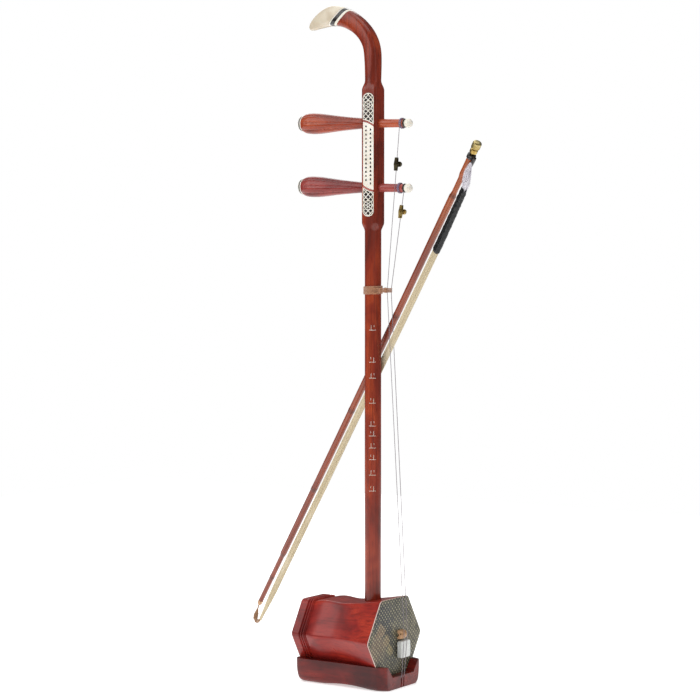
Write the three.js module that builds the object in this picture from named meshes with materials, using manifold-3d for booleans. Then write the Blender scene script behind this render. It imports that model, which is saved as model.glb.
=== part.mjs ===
// A two-stringed spike fiddle (erhu) with a hexagonal sound box, a cradle base and its captive bow.
// Millimetres, +Z up. The playing face looks along -Y and the base stands on z = 0. The player sits
// on the -X side, so the inner string is the one at -X. Dimensions are measured from the neck's
// axis, and the whole instrument is then shifted so that the centre of its footprint is the origin.
import * as THREE from "three";
import { mergeVertices } from "three/addons/utils/BufferGeometryUtils.js";
import Module from "manifold-3d";

const wasm = await Module();
wasm.setup();

// ---- driving dimensions -------------------------------------------------------------------
const GAP = 0.3; // between neighbours that touch or fit into each other

const NECK_RADIUS = 9.5;
const NECK_FOOT_Z = 11;
const BLOCK_LOW_Z = 537; // the peg block is the widened, chamfered stretch of the neck
const BLOCK_HIGH_Z = 689;
const BLOCK_FLARE = 10;
const BLOCK_HALF_X = 10;
const BLOCK_HALF_Y = 10.4;
const BLOCK_CHAMFER = 2.2;
const HEAD_START_Z = BLOCK_HIGH_Z + BLOCK_FLARE;

const PEG_TILT = 1.8; // degrees, handle end up
const UPPER_PEG_Z = 651;
const LOWER_PEG_Z = 577;
const PEG_SHAFT_RADIUS = 5;

const BOX_CENTRE_Z = 56.3;
const BOX_FRONT_Y = -28.6;
const BOX_REAR_Y = 66;
const BOX_WALL = 7;
const RIM_START_Y = BOX_REAR_Y + GAP;
const RIM_END_Y = 85.3;
const SKIN_FRONT_Y = -30.6;

const BASE_FRONT_Y = -42;
const BASE_REAR_Y = 84;
const BASE_HALF_WIDTH = 41;
const BASE_TOP_Z = 27.5;
const BASE_ARCH = 3; // how far the underside rises between the feet on each side
const KEEL_HALF_WIDTH = 14; // the flat strip under the middle that the base also stands on

const SCREW_Y = 44; // the screw that holds the sound box down on the base
const SCREW_RADIUS = 2;
const SCREW_TOP_Z = 23;
const SCREW_HEAD_LOW_Z = 2.5;

const STRING_RADIUS = 0.5;
const QIANJIN_Z = 458.5;
const BRIDGE_TOP_Z = 59;
const BRIDGE_CENTRE_X = 11;
const BRIDGE_TOP_Y = -38.5;
const STRING_FOOT_X = -1;

const BOW_YAW = -114; // degrees: heading and climb of the bow from its tip to its screw
const BOW_PITCH = 49.9;
const BOW_CROSSING = [1.4, -24.8, 396.8]; // where the hair passes between the strings
const HAIR_HALF_WIDTH = 5.5;
const HAIR_HALF_THICKNESS = 0.6;
const STICK_OFFSET = [10, 25.8]; // from the hair, across its flat and along its width
const STICK_RADIUS = 3.9;

// ---- materials ----------------------------------------------------------------------------
const finish = (color, roughness, metalness = 0) =>
  new THREE.MeshStandardMaterial({ color, roughness, metalness });
const redWood = finish(0x7c2418, 0.32);
const pegWood = finish(0x8c3220, 0.38);
const bamboo = finish(0x9c5226, 0.4);
const ivory = finish(0xeee6d2, 0.35);
const blackHorn = finish(0x17130f, 0.3);
const brass = finish(0xb89a52, 0.3, 1);
const darkMetal = finish(0x4a4232, 0.45, 1);
const snakeskin = finish(0x77735c, 0.5);
const cord = finish(0xb58a63, 0.8);
const stringMaterial = finish(0xc8bcbc, 0.35, 0.6);
const felt = finish(0xe4e6e0, 0.9);
const hairMaterial = finish(0xe8dcae, 0.6);
const rubber = finish(0x2a2c2c, 0.6);

// ---- geometry helpers ---------------------------------------------------------------------
const root = new THREE.Group();
const instrument = new THREE.Group();
instrument.position.y = -(BASE_FRONT_Y + BASE_REAR_Y) / 2;
root.add(instrument);
const bowGroup = new THREE.Group();

function toSolid(geometry) {
  const bare = geometry.clone();
  bare.deleteAttribute("normal");
  bare.deleteAttribute("uv");
  const merged = mergeVertices(bare, 1e-4);
  const vertProperties = new Float32Array(merged.attributes.position.array);
  const triVerts = new Uint32Array(merged.index.array);
  return new wasm.Manifold(new wasm.Mesh({ numProp: 3, vertProperties, triVerts }));
}

function toGeometry(solid) {
  const made = solid.getMesh();
  const positions = new Float32Array(made.numVert * 3);
  for (let i = 0; i < made.numVert; i++) {
    const first = i * made.numProp;
    positions.set(made.vertProperties.subarray(first, first + 3), i * 3);
  }
  const geometry = new THREE.BufferGeometry();
  geometry.setAttribute("position", new THREE.BufferAttribute(positions, 3));
  geometry.setIndex(new THREE.BufferAttribute(new Uint32Array(made.triVerts), 1));
  return geometry;
}

function addNode(name, shape, material, parent = instrument) {
  const geometry = shape.isBufferGeometry ? shape : toGeometry(shape);
  if (!geometry.getAttribute("normal")) geometry.computeVertexNormals();
  const mesh = new THREE.Mesh(geometry, material);
  mesh.name = name;
  parent.add(mesh);
  return mesh;
}

// Joins rings of equally many points into one closed body. The rings run forward, and each one
// turns clockwise as seen by someone looking forward. With a loop the last ring joins the first,
// and otherwise both ends are capped by fans.
function loft(rings, loop = false) {
  const count = rings[0].length;
  const positions = rings.flat().flatMap((p) => [p[0], p[1], p[2]]);
  const triangles = [];
  const spans = loop ? rings.length : rings.length - 1;
  for (let s = 0; s < spans; s++) {
    const a = s * count;
    const b = ((s + 1) % rings.length) * count;
    for (let i = 0; i < count; i++) {
      const j = (i + 1) % count;
      triangles.push(a + i, b + i, a + j, a + j, b + i, b + j);
    }
  }
  if (!loop) {
    const capAt = (ring, base, forward) => {
      const centre = [0, 1, 2].map((k) => ring.reduce((sum, p) => sum + p[k], 0) / count);
      const hub = positions.length / 3;
      positions.push(...centre);
      for (let i = 0; i < count; i++) {
        const j = (i + 1) % count;
        if (forward) triangles.push(hub, base + j, base + i);
        else triangles.push(hub, base + i, base + j);
      }
    };
    capAt(rings[0], 0, false);
    capAt(rings[rings.length - 1], (rings.length - 1) * count, true);
  }
  const geometry = new THREE.BufferGeometry();
  geometry.setAttribute("position", new THREE.Float32BufferAttribute(positions, 3));
  geometry.setIndex(triangles);
  return geometry;
}

function ellipseRing(centre, across, along, halfAcross, halfAlong, points, power = 2) {
  const shaped = (v) => Math.sign(v) * Math.abs(v) ** (2 / power);
  return Array.from({ length: points }, (_, i) => {
    const turn = (-2 * Math.PI * i) / points;
    const u = halfAcross * shaped(Math.cos(turn));
    const v = halfAlong * shaped(Math.sin(turn));
    return [0, 1, 2].map((k) => centre[k] + across[k] * u + along[k] * v);
  });
}

// A turned body about the local Z axis from [radius, z] pairs that start and end on the axis.
function turned(profile, segments = 20) {
  const points = profile.map(([radius, z]) => new THREE.Vector2(radius, z));
  return new THREE.LatheGeometry(points, segments).rotateX(Math.PI / 2);
}

const boxAt = (sizes, centre) => new THREE.BoxGeometry(...sizes).translate(...centre);

// A round bar from one point to another.
function bar(from, to, radius, segments = 12) {
  const a = new THREE.Vector3(...from);
  const b = new THREE.Vector3(...to);
  const geometry = new THREE.CylinderGeometry(radius, radius, a.distanceTo(b), segments);
  const turn = new THREE.Quaternion().setFromUnitVectors(
    new THREE.Vector3(0, 1, 0),
    b.clone().sub(a).normalize(),
  );
  return geometry.applyQuaternion(turn).translate(...a.add(b).multiplyScalar(0.5).toArray());
}

// A route of straight stretches that is stepped from corner to corner.
class Route extends THREE.Curve {
  constructor(points) {
    super();
    this.corners = points.map((p) => new THREE.Vector3(...p));
  }
  getPoint(t) {
    const last = this.corners.length - 1;
    const index = Math.min(Math.floor(t * last + 1e-6), last - 1);
    return this.corners[index].clone().lerp(this.corners[index + 1], t * last - index);
  }
  getPointAt(t) {
    return this.getPoint(t);
  }
  getTangentAt(t) {
    const index = Math.round(t * (this.corners.length - 1));
    const before = this.corners[Math.max(index - 1, 0)];
    const here = this.corners[index];
    const after = this.corners[Math.min(index + 1, this.corners.length - 1)];
    const arriving = here.clone().sub(before).normalize();
    const leaving = after.clone().sub(here).normalize();
    return arriving.add(leaving).normalize();
  }
}

// A tube of a round section swept through the points of a route.
function tube(points, radius, sides = 8) {
  const section = new THREE.Shape(
    Array.from({ length: sides }, (_, i) => {
      const turn = (2 * Math.PI * i) / sides;
      return new THREE.Vector2(radius * Math.cos(turn), radius * Math.sin(turn));
    }),
  );
  return new THREE.ExtrudeGeometry(section, {
    steps: points.length - 1,
    extrudePath: new Route(points),
    bevelEnabled: false,
  });
}

// ---- neck and head ------------------------------------------------------------------------
// Radius of the chamfered block's section in a direction, in degrees.
function blockRadius(angle) {
  const diagonal = (BLOCK_HALF_X + BLOCK_HALF_Y - BLOCK_CHAMFER) / Math.SQRT2;
  const faces = [
    [0, BLOCK_HALF_X],
    [90, BLOCK_HALF_Y],
    [180, BLOCK_HALF_X],
    [270, BLOCK_HALF_Y],
    [45, diagonal],
    [135, diagonal],
    [225, diagonal],
    [315, diagonal],
  ];
  const reach = faces.map(([normal, distance]) => {
    const facing = Math.cos(THREE.MathUtils.degToRad(angle - normal));
    return facing > 0.1 ? distance / facing : Infinity;
  });
  return Math.min(...reach);
}

function blockAngles() {
  const low = THREE.MathUtils.radToDeg(Math.atan2(BLOCK_HALF_Y - BLOCK_CHAMFER, BLOCK_HALF_X));
  const high = THREE.MathUtils.radToDeg(Math.atan2(BLOCK_HALF_Y, BLOCK_HALF_X - BLOCK_CHAMFER));
  const quadrant = [0, low / 2, low, high, (high + 90) / 2];
  const mirrored = quadrant.slice(1).map((a) => 180 - a);
  const half = [...quadrant, 90, ...mirrored.reverse()];
  return [...half, ...half.map((a) => a + 180)];
}

function neckRing(z, blend) {
  return blockAngles()
    .reverse()
    .map((angle) => {
      const turn = THREE.MathUtils.degToRad(angle);
      const radius = THREE.MathUtils.lerp(NECK_RADIUS, blockRadius(angle), blend);
      return [radius * Math.cos(turn), radius * Math.sin(turn), z];
    });
}

// The head's centre line in the YZ plane with its half thickness in that plane and across it.
const HEAD_STATIONS = [
  [0, HEAD_START_Z - 1, 9.4, 9.4],
  [0, 722, 9.0, 9.2],
  [1.6, 738, 8.8, 9.2],
  [7, 750.5, 8.9, 9.4],
  [16.5, 761.5, 9.3, 9.7],
  [28.5, 770, 10.2, 10.2],
  [41, 775.6, 11.2, 10.6],
  [54, 777.6, 11.5, 10.5],
  [66, 775.2, 9.8, 9],
  [76, 771.3, 7.5, 7],
  [83.5, 767.2, 4.9, 4.6],
  [87.5, 764.8, 2.4, 2.2],
];
const HEAD_SIDES = 20;

function headSolid() {
  const across = [1, 0, 0];
  const rings = HEAD_STATIONS.map(([y, z, thick, wide], i) => {
    const before = HEAD_STATIONS[Math.max(i - 1, 0)];
    const after = HEAD_STATIONS[Math.min(i + 1, HEAD_STATIONS.length - 1)];
    const run = new THREE.Vector2(after[0] - before[0], after[1] - before[1]).normalize();
    const inPlane = [0, i === 0 ? 1 : run.y, i === 0 ? 0 : -run.x];
    return ellipseRing([0, y, z], across, inPlane, wide, thick, HEAD_SIDES, 2.5);
  });
  return toSolid(loft(rings));
}

// The bands and the cap are cut off the head by planes that lean back along its crown.
const BAND_NORMAL = [0.67, 0.742];
const BAND_START = [37.2, 773.9];
const BAND_PLACES = { white_inner: [0, 2.8], black: [3.1, 7.1], white_outer: [7.4, 8.4] };
const CAP_START = 8.7;
const CUTTER = 120;

function headSlice(from, to) {
  const lean = Math.atan2(BAND_NORMAL[1], BAND_NORMAL[0]);
  const slab = new THREE.BoxGeometry(CUTTER, to - from, CUTTER);
  slab.translate(0, (from + to) / 2, 0).rotateX(lean);
  slab.translate(0, BAND_START[0], BAND_START[1]);
  return toSolid(slab);
}

function buildNeckAndHead() {
  const levels = [
    [NECK_FOOT_Z, 0],
    [BLOCK_LOW_Z - BLOCK_FLARE, 0],
    [BLOCK_LOW_Z - BLOCK_FLARE / 2, 0.55],
    [BLOCK_LOW_Z, 1],
    [BLOCK_HIGH_Z, 1],
    [BLOCK_HIGH_Z + BLOCK_FLARE / 2, 0.55],
    [HEAD_START_Z, 0],
  ];
  const rod = toSolid(loft(levels.map(([z, blend]) => neckRing(z, blend))));
  const head = headSolid();
  let neck = rod.add(head.subtract(headSlice(-GAP, CUTTER)));
  for (const z of [UPPER_PEG_Z, LOWER_PEG_Z]) {
    const bore = new THREE.CylinderGeometry(PEG_SHAFT_RADIUS + GAP, PEG_SHAFT_RADIUS + GAP, 60, 24);
    bore.rotateX(THREE.MathUtils.degToRad(PEG_TILT)).translate(0, 0, z);
    neck = neck.subtract(toSolid(bore));
  }
  const pocketSizes = [INLAY_DEPTH * 2, INLAY_HALF_WIDTH * 2, INLAY_LENGTH];
  const pocket = boxAt(pocketSizes, [-BLOCK_HALF_X, 0, INLAY_Z]);
  neck = neck.subtract(toSolid(pocket));
  addNode("neck", neck, redWood);
  for (const [name, [from, to]] of Object.entries(BAND_PLACES)) {
    const material = name === "black" ? blackHorn : ivory;
    addNode("head_band_" + name, head.intersect(headSlice(from, to)), material);
  }
  addNode("head_cap", head.intersect(headSlice(CAP_START, CUTTER)), ivory);
}

// ---- inlays on the player's side of the peg block -------------------------------------------
const INLAY_DEPTH = 1.6;
const INLAY_HALF_WIDTH = 7.6;
const INLAY_LOW_Z = 543;
const INLAY_HIGH_Z = 686;
const INLAY_LENGTH = INLAY_HIGH_Z - INLAY_LOW_Z;
const INLAY_Z = (INLAY_HIGH_Z + INLAY_LOW_Z) / 2;
const INLAY_FACE_X = -BLOCK_HALF_X - 0.2;
const PLAQUE_LOW_Z = 576.5;
const PLAQUE_HIGH_Z = 650;
const PLAQUE_SLANT = 3; // rise of a slanted end from the middle of the plaque to its side

// A flat inlay drawn as [y, z] outline, set into the pocket.
function inlay(outline) {
  const shape = new THREE.Shape(outline.map(([y, z]) => new THREE.Vector2(y, z)));
  const thickness = BLOCK_HALF_X - INLAY_DEPTH + GAP + INLAY_FACE_X;
  const plate = new THREE.ExtrudeGeometry(shape, { depth: -thickness, bevelEnabled: false });
  plate.applyMatrix4(
    new THREE.Matrix4().makeBasis(
      new THREE.Vector3(0, 1, 0),
      new THREE.Vector3(0, 0, 1),
      new THREE.Vector3(1, 0, 0),
    ),
  );
  return plate.translate(INLAY_FACE_X, 0, 0);
}

function buildInlays() {
  const half = INLAY_HALF_WIDTH - GAP;
  const low = INLAY_LOW_Z + GAP;
  const high = INLAY_HIGH_Z - GAP;
  const slantLine = (z, shift) => [
    [-half, z - PLAQUE_SLANT + shift],
    [half, z + PLAQUE_SLANT + shift],
  ];
  const [topRight, topLeft] = slantLine(PLAQUE_HIGH_Z, 0);
  const [lowRight, lowLeft] = slantLine(PLAQUE_LOW_Z, 0);
  addNode("inlay_plaque", inlay([topLeft, lowLeft, lowRight, topRight].reverse()), ivory);
  const panels = {
    upper: [slantLine(PLAQUE_HIGH_Z, GAP), [[half, high], [-half, high]]],
    lower: [[[-half, low], [half, low]], slantLine(PLAQUE_LOW_Z, -GAP)],
  };
  for (const [name, [first, second]] of Object.entries(panels)) {
    const outline = name === "upper" ? [...first, ...second] : [...first, ...second.reverse()];
    addNode("inlay_lattice_" + name, inlay(outline), ivory);
  }
}

// ---- tuning pegs --------------------------------------------------------------------------
const PEG_HEAD_START = 10.8;
const PEG_BUTT = 96;
const PEG_SHAFT_END = -42.4;
const PEG_PROFILE = [
  [PEG_SHAFT_END, PEG_SHAFT_RADIUS - 0.3],
  [-11, PEG_SHAFT_RADIUS],
  [PEG_HEAD_START, PEG_SHAFT_RADIUS],
  [PEG_HEAD_START + 0.6, 6],
  [30, 7.4],
  [55, 9.9],
  [74, 12],
  [84, 12.3],
  [91, 11.6],
  [PEG_BUTT, 9.6],
];
const COIL_FROM = { upper: -41.8, lower: -39.2 }; // where each string is wound on its shaft
const COIL_LENGTH = 3.8;
const COIL_THICKNESS = 1.3;
const PEG_SIDES = 24;
const PEG_FLUTES = 8;
const FLUTE_DEPTH = 0.07;

// Discs at the ends of a peg, as [name, from, to, profile of [radius, distance], material].
function pegTrim() {
  const butt = PEG_BUTT + GAP;
  const tip = PEG_SHAFT_END - GAP;
  const disc = (from, to, radius) => [[0, from], [radius, from], [radius, to], [0, to]];
  const dome = (from, radius, height, sign) => [
    [0, from],
    [radius, from],
    [radius * 0.94, from + sign * height * 0.45],
    [radius * 0.6, from + sign * height * 0.86],
    [0, from + sign * height],
  ];
  return [
    ["butt_ring_white", disc(butt, butt + 1.4, 9.2), ivory],
    ["butt_ring_black", disc(butt + 1.7, butt + 3.1, 8.9), blackHorn],
    ["butt_cap", dome(butt + 3.4, 8.4, 3, 1), ivory],
    ["tip_collar", disc(tip - 1, tip, 5.2), blackHorn],
    ["tip_ball", ballProfile(tip - 1 - GAP, 5.3), ivory],
  ];
}

// A ball cut flat where it meets the collar, from its far pole to the flat.
function ballProfile(flat, radius) {
  const cut = 0.75; // radians that the flat takes off the ball
  const centre = flat - radius * Math.cos(cut);
  const steps = 6;
  const arc = Array.from({ length: steps + 1 }, (_, i) => {
    const turn = Math.PI - ((Math.PI - cut) * i) / steps;
    return [i === 0 ? 0 : radius * Math.sin(turn), centre + radius * Math.cos(turn)];
  });
  return [...arc, [0, flat]];
}

function buildPeg(name, z, coilFrom) {
  const peg = new THREE.Group();
  peg.position.z = z;
  peg.rotation.x = THREE.MathUtils.degToRad(PEG_TILT);
  const axisAlongY = (geometry) => geometry.rotateX(-Math.PI / 2);
  const rings = PEG_PROFILE.map(([y, radius]) =>
    Array.from({ length: PEG_SIDES }, (_, i) => {
      const turn = (2 * Math.PI * i) / PEG_SIDES;
      const grow = THREE.MathUtils.clamp((y - PEG_HEAD_START - 4) / 30, 0, 1);
      const flute = 1 - FLUTE_DEPTH * grow * (0.5 - 0.5 * Math.cos(PEG_FLUTES * turn));
      return [radius * flute * Math.cos(turn), y, radius * flute * Math.sin(turn)];
    }),
  );
  addNode(name, loft(rings), pegWood, peg);
  for (const [part, profile, material] of pegTrim()) {
    const backwards = profile[0][1] > profile[profile.length - 1][1];
    const ordered = backwards ? [...profile].reverse() : profile;
    addNode(name + "_" + part, axisAlongY(turned(ordered)), material, peg);
  }
  const outer = PEG_SHAFT_RADIUS + COIL_THICKNESS;
  const inner = PEG_SHAFT_RADIUS + GAP - 0.1;
  const winding = [
    [inner, coilFrom],
    [outer, coilFrom],
    [outer, coilFrom + COIL_LENGTH],
    [inner, coilFrom + COIL_LENGTH],
    [inner, coilFrom],
  ];
  addNode(name + "_string_winding", axisAlongY(turned(winding)), stringMaterial, peg);
  instrument.add(peg);
}

// ---- sound box ----------------------------------------------------------------------------
// Half height across the flats and half width at the side corners along the box.
const BOX_STATIONS = [
  [BOX_FRONT_Y, 46, 57],
  [-20, 44.6, 54.6],
  [-8, 42.6, 51.4],
  [6, 40.6, 48.2],
  [20, 38.9, 45.8],
  [33, 38.2, 44.8],
  [50, 39.6, 46.4],
  [60, 38.9, 45.4],
  [BOX_REAR_Y, 37.4, 43.6],
];
const RIM_MOUTH = [29.4, 34.4]; // half height and half width of the opening at the back
const EDGING_WIDTH = 1.5;
const CORNER_ROUND = 0.075; // share of a side that its rounded corner takes

// A hexagon with a flat top and bottom and rounded corners, in the plane at y.
function hexagonRing(y, halfHeight, halfWidth) {
  const corners = [
    [halfWidth, 0],
    [halfWidth / 2, halfHeight],
    [-halfWidth / 2, halfHeight],
    [-halfWidth, 0],
    [-halfWidth / 2, -halfHeight],
    [halfWidth / 2, -halfHeight],
  ];
  return corners.flatMap((corner, i) => {
    const before = corners[(i + 5) % 6];
    const after = corners[(i + 1) % 6];
    const part = (toward, share) => [0, 1].map((k) => corner[k] + (toward[k] - corner[k]) * share);
    const start = part(before, CORNER_ROUND);
    const end = part(after, CORNER_ROUND);
    const middle = [0, 1].map((k) => corner[k] * 0.5 + (start[k] + end[k]) * 0.25);
    return [start, middle, end].map(([x, z]) => [x, y, BOX_CENTRE_Z + z]);
  });
}

const hexagonPlate = (from, to, halfHeight, halfWidth) =>
  loft([hexagonRing(from, halfHeight, halfWidth), hexagonRing(to, halfHeight, halfWidth)]);

function hexagonSleeve(outer, inner) {
  const rings = [...outer, ...[...inner].reverse()];
  return loft(
    rings.map((station) => hexagonRing(...station)),
    true,
  );
}

const inset = (stations, wall) =>
  stations.map(([y, high, wide]) => [y, high - wall, wide - wall * 1.15]);

function neckHole(low, high) {
  return toSolid(bar([0, 0, low], [0, 0, high], NECK_RADIUS + GAP, 24));
}

function buildSoundBox() {
  const shell = toSolid(hexagonSleeve(BOX_STATIONS, inset(BOX_STATIONS, BOX_WALL)));
  const screwHole = toSolid(bar([0, SCREW_Y, 0], [0, SCREW_Y, 40], SCREW_RADIUS + GAP));
  addNode("sound_box_shell", shell.subtract(neckHole(0, 140)).subtract(screwHole), redWood);

  const back = BOX_FRONT_Y - GAP;
  const edging = [SKIN_FRONT_Y + 0.4, back].map((y) => [y, BOX_STATIONS[0][1], BOX_STATIONS[0][2]]);
  addNode("front_edging", hexagonSleeve(edging, inset(edging, EDGING_WIDTH)), ivory);
  const [[, skinHeight, skinWidth]] = inset(edging, EDGING_WIDTH + GAP);
  const skin = hexagonPlate(SKIN_FRONT_Y, back, skinHeight, skinWidth);
  addNode("snakeskin_face", skin, snakeskin);

  const rimOuter = [
    [RIM_START_Y, 37.4, 43.6],
    [67.4, 38.6, 45],
    [68.3, 37.2, 43.4],
    [69.4, 38.8, 45.2],
    [70.4, 37.2, 43.4],
    [71.6, 39, 45.4],
    [72.6, 37.6, 43.8],
    [74, 38.9, 45.3],
    [RIM_END_Y - 1, 38.7, 45],
    [RIM_END_Y, 37.9, 44.1],
  ];
  const plug = (stations) => toSolid(loft(stations.map((station) => hexagonRing(...station))));
  const bore = [
    [RIM_START_Y - 1, ...RIM_MOUTH],
    [RIM_END_Y + 1, RIM_MOUTH[0] + 1.6, RIM_MOUTH[1] + 1.8],
  ];
  addNode("rear_rim", plug(rimOuter).subtract(plug(bore)), redWood);
  addNode("rear_sound_window", soundWindow(), redWood);
}

// The carved screen in the back opening: a plate with one round hole inside a ring of six.
function soundWindow() {
  const from = RIM_START_Y + 3;
  const to = from + 4;
  let screen = toSolid(hexagonPlate(from, to, RIM_MOUTH[0] - GAP, RIM_MOUTH[1] - GAP));
  const cut = (x, z, radius) => {
    const hole = bar([x, from - 1, BOX_CENTRE_Z + z], [x, to + 1, BOX_CENTRE_Z + z], radius, 6);
    screen = screen.subtract(toSolid(hole));
  };
  cut(0, 0, 7.5);
  for (let i = 0; i < 6; i++) {
    const turn = (Math.PI / 3) * (i + 0.5);
    cut(19 * Math.cos(turn), 17.5 * Math.sin(turn), 6.6);
  }
  return screen;
}

// ---- base ---------------------------------------------------------------------------------
const ARCH_STATIONS = [-20, -12, -2, 12, 26, 38, 46];
const ANCHOR_Z = 7.5;
const ANCHOR_Y = -26;

// Plan outline of the base at one level, drawn round from the front right.
function basePlan(z, narrow) {
  const half = BASE_HALF_WIDTH - narrow;
  const nose = BASE_HALF_WIDTH - narrow * 0.8;
  const front = BASE_FRONT_Y + narrow * 0.15;
  const rear = BASE_REAR_Y - narrow * 0.5;
  const side = [
    [nose - 7.6, front],
    [nose - 5.6, front + 0.6],
    [nose - 3.8, front + 3],
    [nose - 1, front + 9],
    [nose - 0.2, front + 15],
    [half - 1.2, front + 42],
    [half - 1.8, (front + rear) / 2 + 8],
    [half - 1, rear - 24],
    [half - 1.6, rear - 6],
    [half - 4.4, rear - 1.2],
    [half - 8, rear],
  ];
  const mirrored = [...side].reverse().map(([x, y]) => [-x, y]);
  return [...side, ...mirrored].reverse().map(([x, y]) => [x, y, z]);
}

// The shallow arch under one long side, from the keel out past the side.
function archCutter(side) {
  const [near, far] = [side * KEEL_HALF_WIDTH, side * (BASE_HALF_WIDTH + 5)];
  const [left, right] = [Math.min(near, far), Math.max(near, far)];
  const rings = ARCH_STATIONS.map((y, i) => {
    const rise = BASE_ARCH * Math.sin((Math.PI * i) / (ARCH_STATIONS.length - 1)) ** 0.8;
    return [
      [left, y, -2],
      [right, y, -2],
      [right, y, rise],
      [left, y, rise],
    ];
  });
  return toSolid(loft(rings));
}

function baseBody() {
  const levels = [
    [0, 8],
    [1.4, 5],
    [5, 2.3],
    [11, 0.8],
    [18, 0.1],
    [BASE_TOP_Z, 0],
  ];
  let body = toSolid(loft(levels.map(([z, narrow]) => basePlan(z, narrow))));
  for (const side of [-1, 1]) body = body.subtract(archCutter(side));
  return body;
}

// The space that the sound box fills in the cradle, grown by the gap.
function cradleSpace() {
  const grown = [
    [SKIN_FRONT_Y - 0.6, 46.2, 57.3],
    ...BOX_STATIONS.slice(1, -1),
    [BOX_REAR_Y + 0.5, 39.2, 45.6],
    [RIM_END_Y + 5, 39.4, 45.8],
  ];
  const rings = grown.map(([y, high, wide]) => hexagonRing(y, high + GAP * 1.5, wide + GAP * 2));
  return toSolid(loft(rings));
}

function frontWindow() {
  const outline = [
    [-22.5, 14.4],
    [22.5, 14.4],
    [33.5, BASE_TOP_Z + 2],
    [-33.5, BASE_TOP_Z + 2],
  ];
  const rings = [BASE_FRONT_Y - 3, -29].map((y) => outline.map(([x, z]) => [x, y, z]));
  return toSolid(loft(rings));
}

const stringFootX = (side) => STRING_FOOT_X + side * 2.6;

function buildBase() {
  let base = baseBody().subtract(cradleSpace()).subtract(frontWindow());
  const recess = boxAt([18, 16, 24], [STRING_FOOT_X, ANCHOR_Y, -1]);
  base = base.subtract(toSolid(recess)).subtract(neckHole(NECK_FOOT_Z - GAP, 60));
  for (const side of [-1, 1]) {
    const groove = boxAt([1.9, 8, 40], [stringFootX(side), BASE_FRONT_Y, 10]);
    const tunnel = boxAt([1.9, 14, 12], [stringFootX(side), -34, 3]);
    base = base.subtract(toSolid(groove)).subtract(toSolid(tunnel));
  }
  const screwBore = bar([0, SCREW_Y, -1], [0, SCREW_Y, 30], SCREW_RADIUS + GAP);
  const headRecess = bar([0, SCREW_Y, -1], [0, SCREW_Y, SCREW_HEAD_LOW_Z + 2.6], 4.6, 18);
  base = base.subtract(toSolid(screwBore)).subtract(toSolid(headRecess));
  addNode("base", base, redWood);

  const screw = [
    [0, SCREW_HEAD_LOW_Z],
    [4.2, SCREW_HEAD_LOW_Z],
    [4.2, SCREW_HEAD_LOW_Z + 2.3],
    [SCREW_RADIUS, SCREW_HEAD_LOW_Z + 2.3],
    [SCREW_RADIUS, SCREW_TOP_Z - 2],
    [0, SCREW_TOP_Z],
  ];
  addNode("base_screw", turned(screw, 16).translate(0, SCREW_Y, 0), brass);
  const [pinLeft, pinRight] = [-8.6, 8.6].map((x) => [STRING_FOOT_X + x, ANCHOR_Y, ANCHOR_Z]);
  addNode("string_anchor_pin", bar(pinLeft, pinRight, 1.2, 10), brass);
}

// ---- strings and what holds them -------------------------------------------------------------
const QIANJIN_Y = -22.3;
const QIANJIN_HALF_SPREAD = 4.2;
const BRIDGE_HALF_SPREAD = 3.5;
const PAD_FRONT_Y = -37.8;
const SCREW_BESIDE = -1.7; // how far a tuner's screw passes from the string
const TUNER_SHANK = 0.8;

// The points that one string passes, from its peg to the anchor pin: side is -1 or 1.
function stringRoute(side, pegZ, coilFrom) {
  const foot = stringFootX(side);
  const windingY = coilFrom + 1;
  const windingZ = pegZ + windingY * Math.tan(THREE.MathUtils.degToRad(PEG_TILT));
  const clear = PEG_SHAFT_RADIUS + COIL_THICKNESS + STRING_RADIUS + 0.15;
  return [
    [side * clear, windingY, windingZ],
    [side * QIANJIN_HALF_SPREAD, QIANJIN_Y, QIANJIN_Z],
    [BRIDGE_CENTRE_X + side * BRIDGE_HALF_SPREAD, BRIDGE_TOP_Y, BRIDGE_TOP_Z],
    [foot, BASE_FRONT_Y - 0.3, 15],
    [foot, BASE_FRONT_Y + 1.4, 10],
    [foot, BASE_FRONT_Y + 5.5, 5.6],
    [foot, ANCHOR_Y - 2.2, 5.6],
  ];
}

function routePoint(route, z) {
  const index = route.findIndex((p, i) => i > 0 && p[2] <= z);
  const [a, b] = [route[index - 1], route[index]];
  const share = (a[2] - z) / (a[2] - b[2]);
  return a.map((v, k) => v + (b[k] - v) * share);
}

function buildStrings() {
  const routes = {
    inner: stringRoute(-1, UPPER_PEG_Z, COIL_FROM.upper),
    outer: stringRoute(1, LOWER_PEG_Z, COIL_FROM.lower),
  };
  addNode("inner_string", tube(routes.inner, STRING_RADIUS), stringMaterial);
  addNode("outer_string", tube(routes.outer, STRING_RADIUS), stringMaterial);
  buildTuner("inner_tuner", routes.inner, 603, darkMetal);
  buildTuner("outer_tuner", routes.outer, 549, brass);
}

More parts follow.
